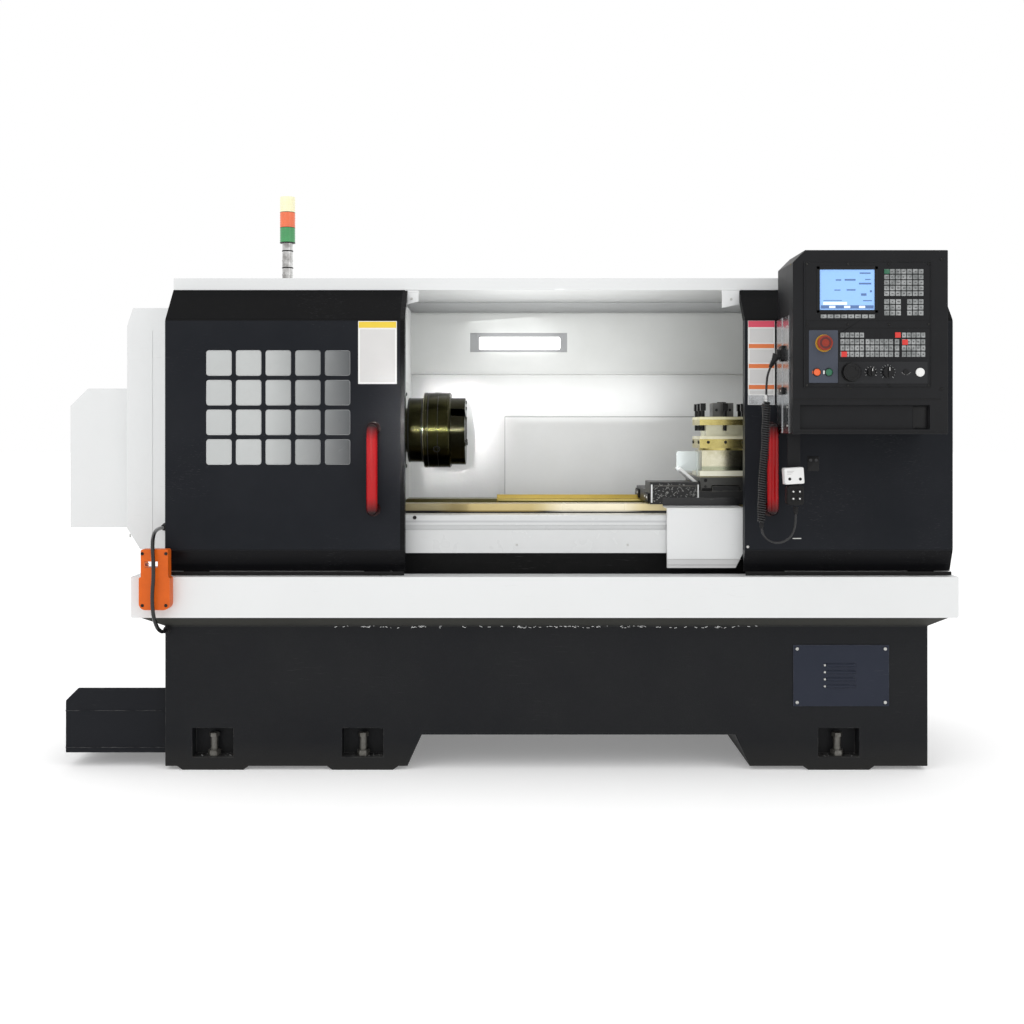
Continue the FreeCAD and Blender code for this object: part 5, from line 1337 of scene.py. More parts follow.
@dataclass
class Doors:
    """Both sliding doors with their window, handles and labels."""

    face: float = -0.470
    pane: float = 0.080
    pitch: float = 0.092
    corner: Point = (-0.914, 0.0, 0.954)

    def build(self) -> None:
        """Dresses the doors and adds what they carry."""
        dress({"left_door": DOOR_COAT, "right_door": DOOR_COAT}, 0.0022)
        dress({"left_window": PANE}, 0.0)
        dress({"left_handle": HANDLE_RED, "right_handle": HANDLE_RED}, 0.0002)
        self.panes()
        self.left_label()
        self.right_label()
        self.plate()
        self.handle_feet()
        self.seams()

    def panes(self) -> None:
        """A domed pane in each opening of the left door, on a lighter rim that is a painted
        highlight.
        """
        made = Maker("window_panes", (PANE, PANE_RIM_HIGHLIGHT))
        for column in range(5):
            for line in range(4):
                x = self.corner[0] + self.pitch * column
                z = self.corner[2] + self.pitch * line
                # The wider plate behind is the painted highlight rim, and the inset one in front
                # is the pane.
                for inset, front, paint in ((0.0005, 0.0012, 1), (0.0026, 0.0006, 0)):
                    made.plate(rounded((x + inset, x + self.pane - inset),
                                       (z + inset, z + self.pane - inset), 0.009 - inset),
                               "XZ", self.face + front, self.face + 0.003, paint, 0.0004)
        made.place("left_door", "window_glass", 0.9)

    def left_label(self) -> None:
        """A plain pale plate with a yellow head."""
        made = Maker("left_label", (PRINT_WHITE, PRINT_YELLOW, PRINT_PALE))
        made.tile((-0.442, -0.322), (1.205, 1.400), self.face, 0, 0.0010)
        top = self.face - 0.0010
        made.tile((-0.440, -0.324), (1.379, 1.398), top, 1, 0.0004)
        made.tile((-0.436, -0.328), (1.211, 1.374), top, 2, 0.0003)
        made.place("left_door", "plate_paint")

    def right_label(self) -> None:
        """A plain pale plate with a pink head, orange bands and a bare metal foot."""
        made = Maker("right_label", (PRINT_WHITE, PRINT_PINK, PRINT_ORANGE, PRINT_PALE,
                                     EXTRUSION))
        made.tile((0.7665, 0.850), (1.140, 1.401), self.face, 0, 0.0010)
        top = self.face - 0.0010
        made.tile((0.7675, 0.849), (1.381, 1.4005), top, 1, 0.0004)
        for low in (1.316, 1.254, 1.189):
            made.tile((0.769, 0.848), (low, low + 0.013), top, 2, 0.0004)
        made.tile((0.7675, 0.849), (1.141, 1.170), top, 4, 0.0004)
        for low, high in ((1.333, 1.377), (1.271, 1.312), (1.206, 1.250), (1.174, 1.185)):
            made.tile((0.772, 0.845), (low, high), top, 3, 0.0003)
        made.place("right_door", "plate_paint")

    def plate(self) -> None:
        """A small black socket plate beside the pendant's place."""
        made = Maker("socket_plate", (KNOB_BLACK, CHARCOAL_TRIM))
        made.plate(rounded((0.951, 0.987), (0.935, 0.981), 0.003), "XZ", self.face - 0.0012,
                   self.face, 0, 0.0004)
        for x in (0.9605, 0.9775):
            made.turned((x, self.face - 0.0012, 0.969), FRONT,
                        [(0.0, 0.0050), (0.0016, 0.0042), (0.0016, 0.0026), (0.0006, 0.0)], 1,
                        sides=20)
        made.tile((0.896, 0.930), (0.962, 0.966), self.face, 0, 0.0008)
        made.place("right_door", "knob_black")

    def handle_feet(self) -> None:
        """A collar round each foot of the two handles."""
        for body, x in (("left_door", -0.394), ("right_door", 0.834)):
            made = Maker(f"{body}_collars", (BLACK_SCREW,))
            for z in (0.817, 1.067):
                made.turned((x, self.face, z), FRONT, [
                    (0.0, 0.0180), (0.0, 0.0215), (0.0030, 0.0215), (0.0040, 0.0180)],
                    sides=36, ring_shaped=True)
            made.place(body, "handle_red")

    def seams(self) -> None:
        """The folded edges beside the bend and a drip strip over the lip."""
        for body, low, high in (("left_door", -1.041, -0.297), ("right_door", 0.757, 1.402)):
            made = Maker(f"{body}_seams", (RUBBER, ZINC))
            made.block((low + 0.002, self.face - 0.0004, 1.4022),
                       (high - 0.002, self.face + 0.002, 1.4038), 0.0004)
            made.block((low + 0.002, self.face - 0.0005, 0.6890),
                       (high - 0.002, self.face + 0.002, 0.6905), 0.0004)
            made.block((low + 0.003, -0.4665, 0.6112), (high - 0.003, -0.4635, 0.6230), 0.0006)
            if body == "right_door":
                made.screw((0.766, self.face, 0.700), FRONT, 0.0045, 1)
                made.block((0.905, self.face - 0.0012, 0.7245), (0.932, self.face, 0.7275),
                           0.0006, 1)
            made.place(body, "door_paint")


@dataclass
class Canopy:
    """The roof, the light, the rear wall and the fixed guards."""

    brackets: tuple[tuple[float, float, float, float], ...] = (
        (-0.305, -0.262, 1.459, 1.499), (0.702, 0.760, 1.450, 1.505))

    def build(self) -> None:
        """Dresses the sheet metal and adds its fittings."""
        dress({"roof_cover": SHEET_WHITE, "belt_guard": SHEET_WHITE, "end_cover": SHEET_WHITE,
               "left_fixed_guard": GUARD_GREY, "right_fixed_guard": GUARD_GREY,
               "light_beam": BEAM_SHADE_GREY}, 0.0014)
        dress({"rear_panel": INNER_WHITE, "electrical_cabinet": SHEET_WHITE,
               "cabinet_door": SHEET_WHITE, "work_lamp": LAMP_BODY}, 0.0012)
        self.gussets()
        self.lamp_frame()
        self.rear_trim()
        self.guard_screws()
        self.belt()
        self.latches()

    def gussets(self) -> None:
        """White corner brackets under the roof."""
        made = Maker("roof_gussets", (SHEET_WHITE, ZINC))
        for left, right, low, high in self.brackets:
            lean = 0.012 if left < 0 else -0.012
            made.plate([(left, low), (right, low + abs(lean)), (right, high), (left, high)],
                       "XZ", -0.372, -0.369, 0, 0.0008)
            made.block((left, -0.372, high), (right, -0.330, high + 0.007), 0.001)
            made.screw(((left + right) / 2, -0.372, (low + high) / 2), FRONT, 0.004, 1)
        made.place("machine", "cover_paint")

    def lamp_frame(self) -> None:
        """The glowing panel in the work lamp, its rim and the beam's folded edges."""
        face = 0.304
        made = Maker("lamp_panel", (DIFFUSER,))
        made.plate(rounded((-0.086, 0.213), (1.360, 1.406), 0.006), "XZ", face - 0.0022, face,
                   0, 0.0010)
        made.place("machine", "lamp_diffuser")
        rim = Maker("beam_trim", (LAMP_BODY, BEAM_SHADE_GREY))
        for x in ((-0.096, -0.0875), (0.2145, 0.223)):
            rim.block((x[0], face - 0.0012, 1.3520), (x[1], face, 1.4140), 0.0004, 0)
        # The beam's folded edges take the same grey, painted shade.
        rim.block((-0.330, 0.3290, 1.2745), (0.860, 0.3300, 1.2775), 0.0004, 1)
        rim.block((-0.330, 0.3290, 1.4895), (0.860, 0.3300, 1.4925), 0.0004, 1)
        rim.place("machine", "beam_paint")

    def rear_trim(self) -> None:
        """The pressed edge and the screws of the hatch in the rear wall."""
        made = Maker("hatch_trim", (INNER_WHITE, LAMP_BODY))
        face = 0.391
        for x, side in ((0.004, 1), (0.946, -1)):
            made.block((x - 0.003, face - 0.0012, 0.656), (x + 0.003, face, 1.116), 0.001)
            edge = sorted((x + side * 0.0030, x + side * 0.0052))
            made.block((edge[0], face - 0.0006, 0.658), (edge[1], face, 1.114), 0.0002, 1)
        for z, side in ((0.656, 1), (1.116, -1)):
            made.block((0.004, face - 0.0012, z - 0.003), (0.946, face, z + 0.003), 0.001)
            edge = sorted((z + side * 0.0030, z + side * 0.0052))
            made.block((0.006, face - 0.0006, edge[0]), (0.944, face, edge[1]), 0.0002, 1)
        made.place("machine", "inner_paint")
        outside = Maker("rear_screws", (ZINC, RUBBER))
        for x in (-0.95, -0.62, -0.29, 0.04):
            for z in (0.66, 1.46):
                outside.screw((x, 0.400, z), REAR, 0.006)
        for x in (1.16, 1.34):
            for z in (0.66, 1.46):
                outside.screw((x, 0.400, z), REAR, 0.006)
        for x in (-0.455, 0.075):
            outside.block((x - 0.0012, 0.3998, 0.6450), (x + 0.0012, 0.4008, 1.5000), 0.0003, 1)
        outside.place("machine", "zinc_steel")

    def guard_screws(self) -> None:
        """Screws in the covers at both ends of the machine, and their seams."""
        made = Maker("guard_screws", (ZINC, GUARD_GREY))
        for z in (0.72, 1.05, 1.34):
            made.screw((-1.201, -0.29, z), LEFT, 0.006)
            made.screw((-1.201, 0.33, z), LEFT, 0.006)
        for z in (0.80, 1.14):
            for y in (-0.19, 0.05):
                made.screw((-1.410, y, z), LEFT, 0.006)
        made.block((-1.120, -0.3315, 0.700), (-1.1185, -0.3298, 1.380), 0.0005, 1)
        for z in (0.70, 1.08, 1.44):
            for y in (-0.25, 0.36):
                made.screw((1.402, y, z), RIGHT, 0.006)
        made.block((1.4012, 0.0600, 0.6480), (1.4025, 0.0620, 1.5040), 0.0004, 1)
        for row in range(6):
            z = 0.86 + 0.026 * row
            made.turned((-1.412, -0.13, z), (0.0, 1.0, 0.0),
                        [(0.0, 0.0), (0.004, 0.0035), (0.116, 0.0035), (0.120, 0.0)], 1,
                        sides=12)
        made.place("machine", "cover_paint")

    def belt(self) -> None:
        """The toothed belt that joins the two pulleys."""
        made = Maker("drive_belt", (BELT,))
        big, small = (Vector((-0.070, 1.062)), 0.1103), (Vector((0.240, 0.830)), 0.0653)
        line = small[0] - big[0]
        tilt = math.atan2(line.y, line.x)
        open_half = math.acos((big[1] - small[1]) / line.length)
        inner, outer = [], []
        for (middle, radius), start, end in ((big, tilt + open_half,
                                              tilt - open_half + math.tau),
                                             (small, tilt - open_half, tilt + open_half)):
            for number in range(29):
                angle = start + (end - start) * number / 28
                away = Vector((math.cos(angle), math.sin(angle)))
                inner.append(middle + away * radius)
                outer.append(middle + away * (radius + 0.005))
        part = bmesh.new()
        rows = [[part.verts.new((x, point.x, point.y)) for point in ring]
                for ring, x in ((inner, -1.123), (outer, -1.123), (outer, -1.063),
                                (inner, -1.063))]
        count = len(inner)
        for lower, upper in zip(rows, rows[1:] + rows[:1]):
            for number in range(count):
                after = (number + 1) % count
                part.faces.new((lower[number], lower[after], upper[after], upper[number]))
        made.keep(part, 0)
        made.place("machine", "cord_rubber")

    def latches(self) -> None:
        """Quarter-turn latches and pressed louvres on the cabinet's door."""
        made = Maker("cabinet_fittings", (KNOB_BLACK, SHEET_WHITE, ZINC))
        for z in (0.80, 1.26):
            made.turned((0.150, 0.720, z), REAR, [(0.0, 0.013), (0.0025, 0.013),
                                                  (0.004, 0.0115), (0.004, 0.0)], 0, sides=32)
            made.block((0.1475, 0.723, z - 0.010), (0.1525, 0.7265, z + 0.010), 0.001, 2)
        for column in (0.40, 0.66):
            for row in range(9):
                z = 1.17 + 0.022 * row
                made.turned((column, 0.7185, z), RIGHT,
                            [(0.0, 0.0), (0.006, 0.0055), (0.134, 0.0055), (0.140, 0.0)], 1,
                            sides=14)
        made.place("cabinet_door", "cabinet_paint")


@dataclass
class Spindle:
    """The headstock, the bed with its ways and covers, and all that turns."""

    line: Point = (0.0, -0.070, 1.062)

    def build(self) -> None:
        """Dresses the castings and the turned parts, and adds their details."""
        dress({"bed_casting": WAY_IRON, "headstock_casting": HEAD_WHITE,
               "main_motor": MOTOR_GREY, "tailstock_body": TAIL_IRON}, 0.0015)
        dress({"screw_cover": COVER_WHITE, "spindle_bearings": BEARING, "spindle": OILED,
               "spindle_pulley": PULLEY, "motor_pulley": PULLEY, "z_ball_screw": SCREW_STEEL,
               "chuck_body": CHUCK, "chuck_jaw_1": JAW, "chuck_jaw_2": JAW,
               "chuck_jaw_3": JAW, "tailstock_quill": QUILL}, 0.0008)
        self.chuck_bands()
        self.key_sockets()
        self.jaw_screws()
        self.nose_screws()
        self.cover_fittings()
        self.way_lines()
        self.tailstock_lever()

    def chuck_bands(self) -> None:
        """Grooved bands round the chuck's rim and its adapter."""
        made = Maker("chuck_bands", (OILED, KNOB_BLACK))
        start = self.line
        for low, high, radius, paint in (
                (-0.2600, -0.2520, 0.1278, 0), (-0.2475, -0.2440, 0.1274, 1),
                (-0.2140, -0.2115, 0.1273, 1), (-0.1800, -0.1745, 0.1277, 0)):
            made.turned(start, RIGHT, [(low, 0.1262), (low, radius - 0.0004),
                                       (low + 0.0006, radius), (high - 0.0006, radius),
                                       (high, radius - 0.0004), (high, 0.1262)], paint, 72,
                        ring_shaped=True)
        for low, high in ((-0.3140, -0.3095), (-0.2690, -0.2640)):
            made.turned(start, RIGHT, [(low, 0.1082), (low, 0.1098), (high, 0.1098),
                                       (high, 0.1082)], 1, 64, ring_shaped=True)
        made.place("spindle", "chuck_steel")

    def key_sockets(self) -> None:
        """The square key sockets round the chuck."""
        made = Maker("key_sockets", (BLACK_SCREW,))
        for number in range(3):
            angle = math.radians(90 + 120 * number)
            away = (0.0, math.cos(angle), math.sin(angle))
            at = Vector((-0.216, self.line[1], self.line[2])) + Vector(away) * 0.1264
            made.turned(tuple(at), away, [(0.0, 0.012), (0.0012, 0.012), (0.0012, 0.0078),
                                          (0.0004, 0.0074), (0.0004, 0.0)], 0, 24)
        made.place("spindle", "screw_black")

    def jaw_screws(self) -> None:
        """Two counterbored cap screws in the face of each jaw."""
        for number in range(3):
            made = Maker(f"jaw_{number + 1}_screws", (BLACK_SCREW, JAW))
            angle = math.radians(120 * number)
            up = Vector((0.0, -math.sin(angle), math.cos(angle)))
            middle = Vector((-0.1219, self.line[1], self.line[2]))
            for radius in (0.074, 0.094):
                at = middle + up * radius
                made.turned(tuple(at), RIGHT, [(0.0, 0.0078), (0.0006, 0.0078),
                                               (0.0006, 0.0070)], 1, 28, ring_shaped=True)
                made.screw(tuple(at), RIGHT, 0.0060, 0)
            made.place(f"jaw_{number + 1}", "jaw_steel")

    def nose_screws(self) -> None:
        """A ring of cap screws in the headstock's front bearing cover."""
        made = Maker("nose_screws", (BLACK_SCREW,))
        for number in range(8):
            angle = math.tau * (number + 0.5) / 8
            made.screw((-0.330, self.line[1] + 0.134 * math.cos(angle),
                        self.line[2] + 0.134 * math.sin(angle)), RIGHT, 0.0065, 0)
        made.place("machine", "screw_black")

    def cover_fittings(self) -> None:
        """The screws in the lead screw's cover."""
        made = Maker("cover_fittings", (BLACK_SCREW, ZINC))
        made.screw((-0.272, -0.400, 0.786), FRONT, 0.0060, 0)
        for x in (0.05, 0.40):
            made.screw((x, -0.400, 0.700), FRONT, 0.0032, 1)
        made.place("machine", "cover_paint")

    def way_lines(self) -> None:
        """Felt strips beside the ways, and dark oil lines under them."""
        made = Maker("way_strips", (RUBBER, BRASSY))
        made.block((-0.895, -0.2725, 0.7900), (1.288, -0.2702, 0.7960), 0.0006, 0)
        made.block((-0.015, 0.0358, 0.8100), (1.288, 0.0372, 0.8195), 0.0004, 1)
        made.place("machine", "bed_iron")

    def tailstock_lever(self) -> None:
        """The clamp lever and the oil caps of the tailstock."""
        made = Maker("tailstock_lever", (ZINC, KNOB_BLACK))
        made.turned((1.150, -0.070, 1.123), UP, [(0.0, 0.016), (0.010, 0.016), (0.016, 0.012),
                                                 (0.016, 0.0)], 0, 28)
        turn = Vector((0.35, -0.5, 0.75)).normalized()
        made.turned((1.150, -0.070, 1.134), tuple(turn), [(0.0, 0.005), (0.090, 0.004),
                                                          (0.090, 0.0)], 0, 16)
        tip = Vector((1.150, -0.070, 1.134)) + turn * 0.088
        made.turned(tuple(tip), tuple(turn), [(0.0, 0.0), (0.003, 0.008), (0.012, 0.011),
                                              (0.020, 0.008), (0.023, 0.0)], 1, 24)
        made.turned((1.210, -0.070, 1.123), UP, [(0.0, 0.007), (0.004, 0.007), (0.006, 0.0)],
                    0, 20)
        made.place("tailstock", "tail_iron")


@dataclass
class Carriage:
    """The saddle, the apron, the cross slide and the tool turret."""

    def build(self) -> None:
        """Dresses the slides and adds wipers, shields and fittings."""
        dress({"saddle": SADDLE_BLACK, "cross_slide": SLIDE_IRON}, 0.0020)
        dress({"apron_cover": APRON_WHITE, "tool_post_base": POST_STEEL,
               "turret": TURRET_STEEL, "clamp_screws": BLACK_SCREW}, 0.0010)
        self.wipers()
        self.shields()
        self.apron_trim()
        self.slide_trim()
        self.turret_trim()

    def wipers(self) -> None:
        """Way wipers with their keep plates and bright screws."""
        made = Maker("way_wipers", (RUBBER, DULL_ZINC, ZINC))
        for x, out in ((0.4810, -1.0), (0.8300, 1.0)):
            low, high = sorted((x, x + out * 0.0045))
            for y in ((-0.286, -0.180), (0.030, 0.140)):
                made.block((low, y[0], 0.8375), (high, y[1], 0.8560), 0.0010, 0)
            for y in ((-0.286, -0.180), (0.030, 0.058), (0.092, 0.140)):
                made.block((low, y[0], 0.8255), (high, y[1], 0.8385), 0.0010, 0)
            for y in ((-0.286, -0.180), (0.030, 0.140)):
                plate = sorted((x + out * 0.0045, x + out * 0.0065))
                made.block((plate[0], y[0] + 0.006, 0.8340), (plate[1], y[1] - 0.006, 0.8520),
                           0.0008, 1)
                for across in (y[0] + 0.018, y[1] - 0.018):
                    made.screw((x + out * 0.0065, across, 0.8430), (out, 0.0, 0.0), 0.0045, 2)
        made.place("carriage", "saddle_iron")

    def shields(self) -> None:
        """The pale chip deflector and the clear sheet behind it."""
        made = Maker("chip_shield", (COVER_WHITE_PLAIN, CLEAR_SHEET, BLACK_SCREW))
        made.plate([(0.5790, 0.9340), (0.5855, 0.9405), (0.6590, 0.8760), (0.6530, 0.8690)],
                   "XZ", -0.2680, -0.1500, 0, 0.0010)
        made.plate(rounded((0.5740, 0.6500), (0.9290, 0.9930), 0.006), "XZ", -0.2400, -0.2375,
                   1, 0.0006)
        made.block((0.6400, -0.2500, 0.9140), (0.6455, -0.2280, 0.9900), 0.0012, 1)
        made.block((0.6360, -0.2650, 0.8660), (0.6438, -0.1550, 0.8950), 0.0012, 2)
        made.place("cross_slide", "apron_paint")

    def apron_trim(self) -> None:
        """The apron's turned hem with a brighter top strip, partly hem and partly painted
        highlight, and the pale oil and chips on the saddle's wing.
        """
        made = Maker("apron_trim", (COVER_WHITE_PLAIN, PRINT_GREY, SPATTER, DULL_ZINC))
        made.block((0.5235, -0.4212, 0.6380), (0.7420, -0.4198, 0.6395), 0.0004, 1)
        made.block((0.5235, -0.4215, 0.6560), (0.7550, -0.4198, 0.6570), 0.0004, 1)
        # A real hem, made whiter than the apron as a painted highlight on its top edge.
        made.block((0.5230, -0.4216, 0.8130), (0.7670, -0.4196, 0.8166), 0.0008, 0)
        chance = random.Random(5)
        for _ in range(130):
            x, y = chance.uniform(0.490, 0.636), chance.uniform(-0.3008, -0.3002)
            z = chance.uniform(0.826, 0.888)
            size = chance.uniform(0.0010, 0.0038)
            made.block((-size, -0.0005, -0.0008), (size, 0.0005, 0.0008), 0.0003, 2,
                       Matrix.Translation((x, y, z)) @ Matrix.Rotation(
                           chance.uniform(-1.2, 1.2), 4, "Y"), segments=1)
        for x, wide in ((0.4840, 0.0052), (0.6345, 0.0045)):
            made.block((x, -0.3018, 0.8270), (x + wide, -0.2998, 0.8860), 0.0010, 0)
        made.block((0.4940, -0.3014, 0.8800), (0.6340, -0.2998, 0.8830), 0.0008, 3)
        made.place("carriage", "apron_paint")

    def slide_trim(self) -> None:
        """Black screws and wiper plates on the cross slide's front."""
        made = Maker("slide_trim", (BLACK_SCREW, RUBBER))
        for x in (0.662, 0.794):
            made.screw((x, -0.290, 0.8990), FRONT, 0.0055, 0)
            made.screw((x, -0.290, 0.8790), FRONT, 0.0040, 0)
        made.block((0.650, -0.2935, 0.8665), (0.690, -0.2898, 0.8740), 0.0010, 1)
        made.place("cross_slide", "slide_iron")

    def turret_trim(self) -> None:
        """The lock handle's hub and the turret's set screws."""
        made = Maker("turret_trim", (BLACK_SCREW,))
        made.turned((0.728, -0.200, 1.151), UP, [(0.0, 0.0150), (0.0025, 0.0150),
                                                 (0.0035, 0.0135), (0.0035, 0.0)], 0, 32)
        for x in (0.706, 0.750):
            made.screw((x, -0.234, 1.128), FRONT, 0.0045, 0)
        for x in (0.6440, 0.8120):
            out = -1.0 if x < 0.7 else 1.0
            for y in (-0.262, -0.138):
                made.screw((x, y, 1.0225), (out, 0.0, 0.0), 0.0055, 0)
        for x in (0.672, 0.728, 0.784):
            made.screw((x, -0.284, 1.0225), FRONT, 0.0050, 0)
        made.place("turret", "turret_steel")


@dataclass
class Console:
    """The hung control console with its screen, keys, knobs and side profile."""

    front: float = -0.695
    bezel: float = -0.698
    controls: float = -0.720

    def build(self) -> None:
        """Dresses the console and adds everything on its face."""
        dress({"control_box": CONSOLE_COAT, "console_arm": CONSOLE_COAT}, 0.0020)
        dress({"display_screen": SCREEN, "side_profile": EXTRUSION}, 0.0005)
        dress({"emergency_stop": STOP_RED, "feed_stop_button": ORANGE_KEY,
               "feed_start_button": GREEN_KEY, "jog_wheel": KNOB_BLACK,
               "feed_knob": KNOB_BLACK, "speed_knob": KNOB_BLACK}, 0.0010)
        self.display()
        self.upper_keys()
        self.lower_keys()
        self.stop_plate()
        self.dials()
        self.pointers()
        self.case_details()
        self.clamps()

    def keys(self, made: Maker, x: tuple[float, float], z: tuple[float, float],
             columns: int, rows: int) -> None:
        """Adds a block of small keys with a mark on each.

        Args:
            made: the piece that they join.
            x: the block's left and right edges.
            z: its lower and upper edges.
            columns: keys across.
            rows: keys down.
        """
        chance = random.Random(int(x[0] * 1e4) + rows)
        across, up = (x[1] - x[0]) / columns, (z[1] - z[0]) / rows
        for column in range(columns):
            for row in range(rows):
                left, low = x[0] + across * column, z[0] + up * row
                made.block((left + across * 0.07, self.bezel - 0.0018, low + up * 0.08),
                           (left + across * 0.93, self.bezel, low + up * 0.92), 0.0008,
                           segments=1)
                wide = across * chance.uniform(0.22, 0.46)
                middle = left + across * chance.uniform(0.42, 0.58)
                made.tile((middle - wide / 2, middle + wide / 2),
                          (low + up * 0.38, low + up * 0.60), self.bezel - 0.0018, 1, 0.0003)

    def display(self) -> None:
        """The screen's dark frame, its plain fields and the row of soft keys."""
        made = Maker("screen_frame", (KNOB_BLACK,))
        outer, inner = ((0.926, 1.105), (1.405, 1.541)), ((0.935, 1.096), (1.413, 1.532))
        for x in ((outer[0][0], inner[0][0]), (inner[0][1], outer[0][1])):
            made.block((x[0], self.bezel - 0.0015, outer[1][0]), (x[1], self.bezel, outer[1][1]),
                       0.0006, 0)
        for z in ((outer[1][0], inner[1][0]), (inner[1][1], outer[1][1])):
            made.block((outer[0][0], self.bezel - 0.0015, z[0]), (outer[0][1], self.bezel, z[1]),
                       0.0006, 0)
        made.place("machine", "knob_black")
        shown = Maker("screen_fields", (SCREEN_INK, SCREEN_PALE))
        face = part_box("display_screen")[0].y
        for x, z, wide, high, paint in (
                (0.982, 1.499, 0.016, 0.004, 0), (1.008, 1.499, 0.032, 0.005, 0),
                (0.978, 1.470, 0.018, 0.003, 0), (1.014, 1.470, 0.026, 0.004, 0),
                (1.052, 1.519, 0.032, 0.004, 0), (1.068, 1.501, 0.016, 0.003, 0),
                (1.050, 1.488, 0.036, 0.005, 0), (1.082, 1.465, 0.006, 0.006, 0),
                (1.056, 1.455, 0.016, 0.007, 0), (1.062, 1.439, 0.026, 0.003, 0),
                (0.946, 1.440, 0.054, 0.002, 0), (0.945, 1.4285, 0.070, 0.0085, 1),
                (0.939, 1.4175, 0.154, 0.0095, 0)):
            shown.tile((x, x + wide), (z, z + high), face, paint, 0.0004)
        for number in range(7):
            left = 0.941 + 0.0218 * number
            shown.tile((left, left + 0.018), (1.4190, 1.4255), face - 0.0004,
                       1 if number % 2 else 0, 0.0003)
        shown.place("machine", "screen_blue")
        soft = Maker("soft_keys", (KEY_PALE, KEY_DARK))
        self.keys(soft, (0.936, 1.097), (1.388, 1.401), 8, 1)
        soft.place("machine", "knob_black")

    def upper_keys(self) -> None:
        """The pale keypads to the right of the screen."""
        made = Maker("keypad", (KEY_PALE, KEY_DARK, GREEN_KEY))
        self.keys(made, (1.122, 1.239), (1.453, 1.534), 7, 5)
        self.keys(made, (1.122, 1.173), (1.396, 1.446), 3, 3)
        self.keys(made, (1.189, 1.239), (1.396, 1.446), 3, 3)
        made.block((1.123, self.bezel - 0.0024, 1.519), (1.139, self.bezel, 1.532), 0.0008, 2)
        made.place("machine", "plate_paint")

    def lower_keys(self) -> None:
        """The wide field of keys under the screen, with three red ones."""
        made = Maker("key_rows", (KEY_PALE, KEY_DARK, KEY_RED))
        high, low = 1.3485, 1.2745
        self.keys(made, (0.994, 1.065), (1.331, high), 5, 1)
        self.keys(made, (1.174, 1.244), (1.331, high), 5, 1)
        self.keys(made, (0.994, 1.065), (low, 1.3295), 5, 3)
        self.keys(made, (1.068, 1.150), (low, 1.3295), 6, 3)
        self.keys(made, (1.153, 1.168), (low, 1.3295), 1, 3)
        self.keys(made, (1.174, 1.244), (low, 1.3295), 5, 3)
        for x, z in ((1.163, 1.340), (1.184, 1.319), (1.006, 1.2835)):
            made.block((x - 0.0085, self.bezel - 0.0026, z - 0.0080),
                       (x + 0.0085, self.bezel, z + 0.0080), 0.0012, 2)
        made.place("machine", "plate_paint")

    def stop_plate(self) -> None:
        """The blue-grey plate with the stop's yellow ring and two collars."""
        made = Maker("stop_plate", (CONTROL_BLUE, STOP_YELLOW, PANEL_FILM, KNOB_BLACK,
                                    ORANGE_KEY, PRINT_WHITE))
        made.plate(rounded((0.903, 0.988), (1.200, 1.354), 0.003), "XZ", self.bezel - 0.0014,
                   self.bezel, 0, 0.0005)
        made.turned((0.947, self.bezel - 0.0014, 1.316), FRONT, [
            (0.0, 0.0090), (0.0, 0.0255), (0.0030, 0.0240), (0.0034, 0.0090)], 1, 48,
            ring_shaped=True)
        for x in (0.926, 0.961):
            made.turned((x, self.bezel - 0.0014, 1.231), FRONT, [
                (0.0, 0.0045), (0.0, 0.0125), (0.0030, 0.0118), (0.0030, 0.0045)], 3, 32,
                ring_shaped=True)
        made.tile((0.9125, 0.9165), (1.227, 1.235), self.bezel - 0.0014, 4, 0.0012)
        made.tile((0.9445, 0.9490), (1.226, 1.236), self.bezel - 0.0014, 5, 0.0012)
        made.block((0.990, self.bezel - 0.0010, 1.198), (1.250, self.bezel, 1.262), 0.0004, 2)
        made.place("machine", "plate_paint")

    def dials(self) -> None:
        """Tick rings round the knobs, the round port and the white button."""
        made = Maker("dials", (KEY_PALE, KNOB_BLACK, PRINT_WHITE, PRINT_GREY))
        face = self.bezel - 0.0010
        for x, radius, count, spread in ((1.084, 0.0165, 9, 240), (1.134, 0.0205, 13, 270)):
            for number in range(count):
                angle = math.radians(90 - spread / 2 + spread * number / (count - 1))
                middle = (x + radius * math.cos(angle), 1.231 + radius * math.sin(angle))
                big = 0.0011 if number % 3 else 0.0016
                turn = Matrix.Translation((middle[0], face, middle[1])) @ Matrix.Rotation(
                    -angle, 4, "Y")
                made.block((-big * 1.6, -0.0003, -big * 0.5), (big * 1.6, 0.0, big * 0.5), 0.0,
                           0 if x > 1.1 else 3, turn)
        made.turned((1.026, face, 1.231), FRONT, [
            (0.0, 0.0100), (0.0, 0.0290), (0.0016, 0.0282), (0.0016, 0.0100)], 1, 56,
            ring_shaped=True)
        made.turned((1.187, face, 1.232), FRONT, [(0.0, 0.0085), (0.0020, 0.0080),
                                                  (0.0020, 0.0055), (0.0008, 0.0)], 1, 32)
        for number in range(7):
            angle = math.radians(20 + 140 * number / 6)
            made.tile((1.187 + 0.0125 * math.cos(angle) - 0.0010,
                       1.187 + 0.0125 * math.cos(angle) + 0.0010),
                      (1.232 - 0.0125 * math.sin(angle) * 0.7,
                       1.2335 - 0.0125 * math.sin(angle) * 0.7), face, 3, 0.0003)
        made.turned((1.228, face, 1.231), FRONT, [(0.0, 0.0130), (0.0035, 0.0125),
                                                  (0.0045, 0.0110), (0.0045, 0.0)], 2, 36)
        made.place("machine", "plate_paint")

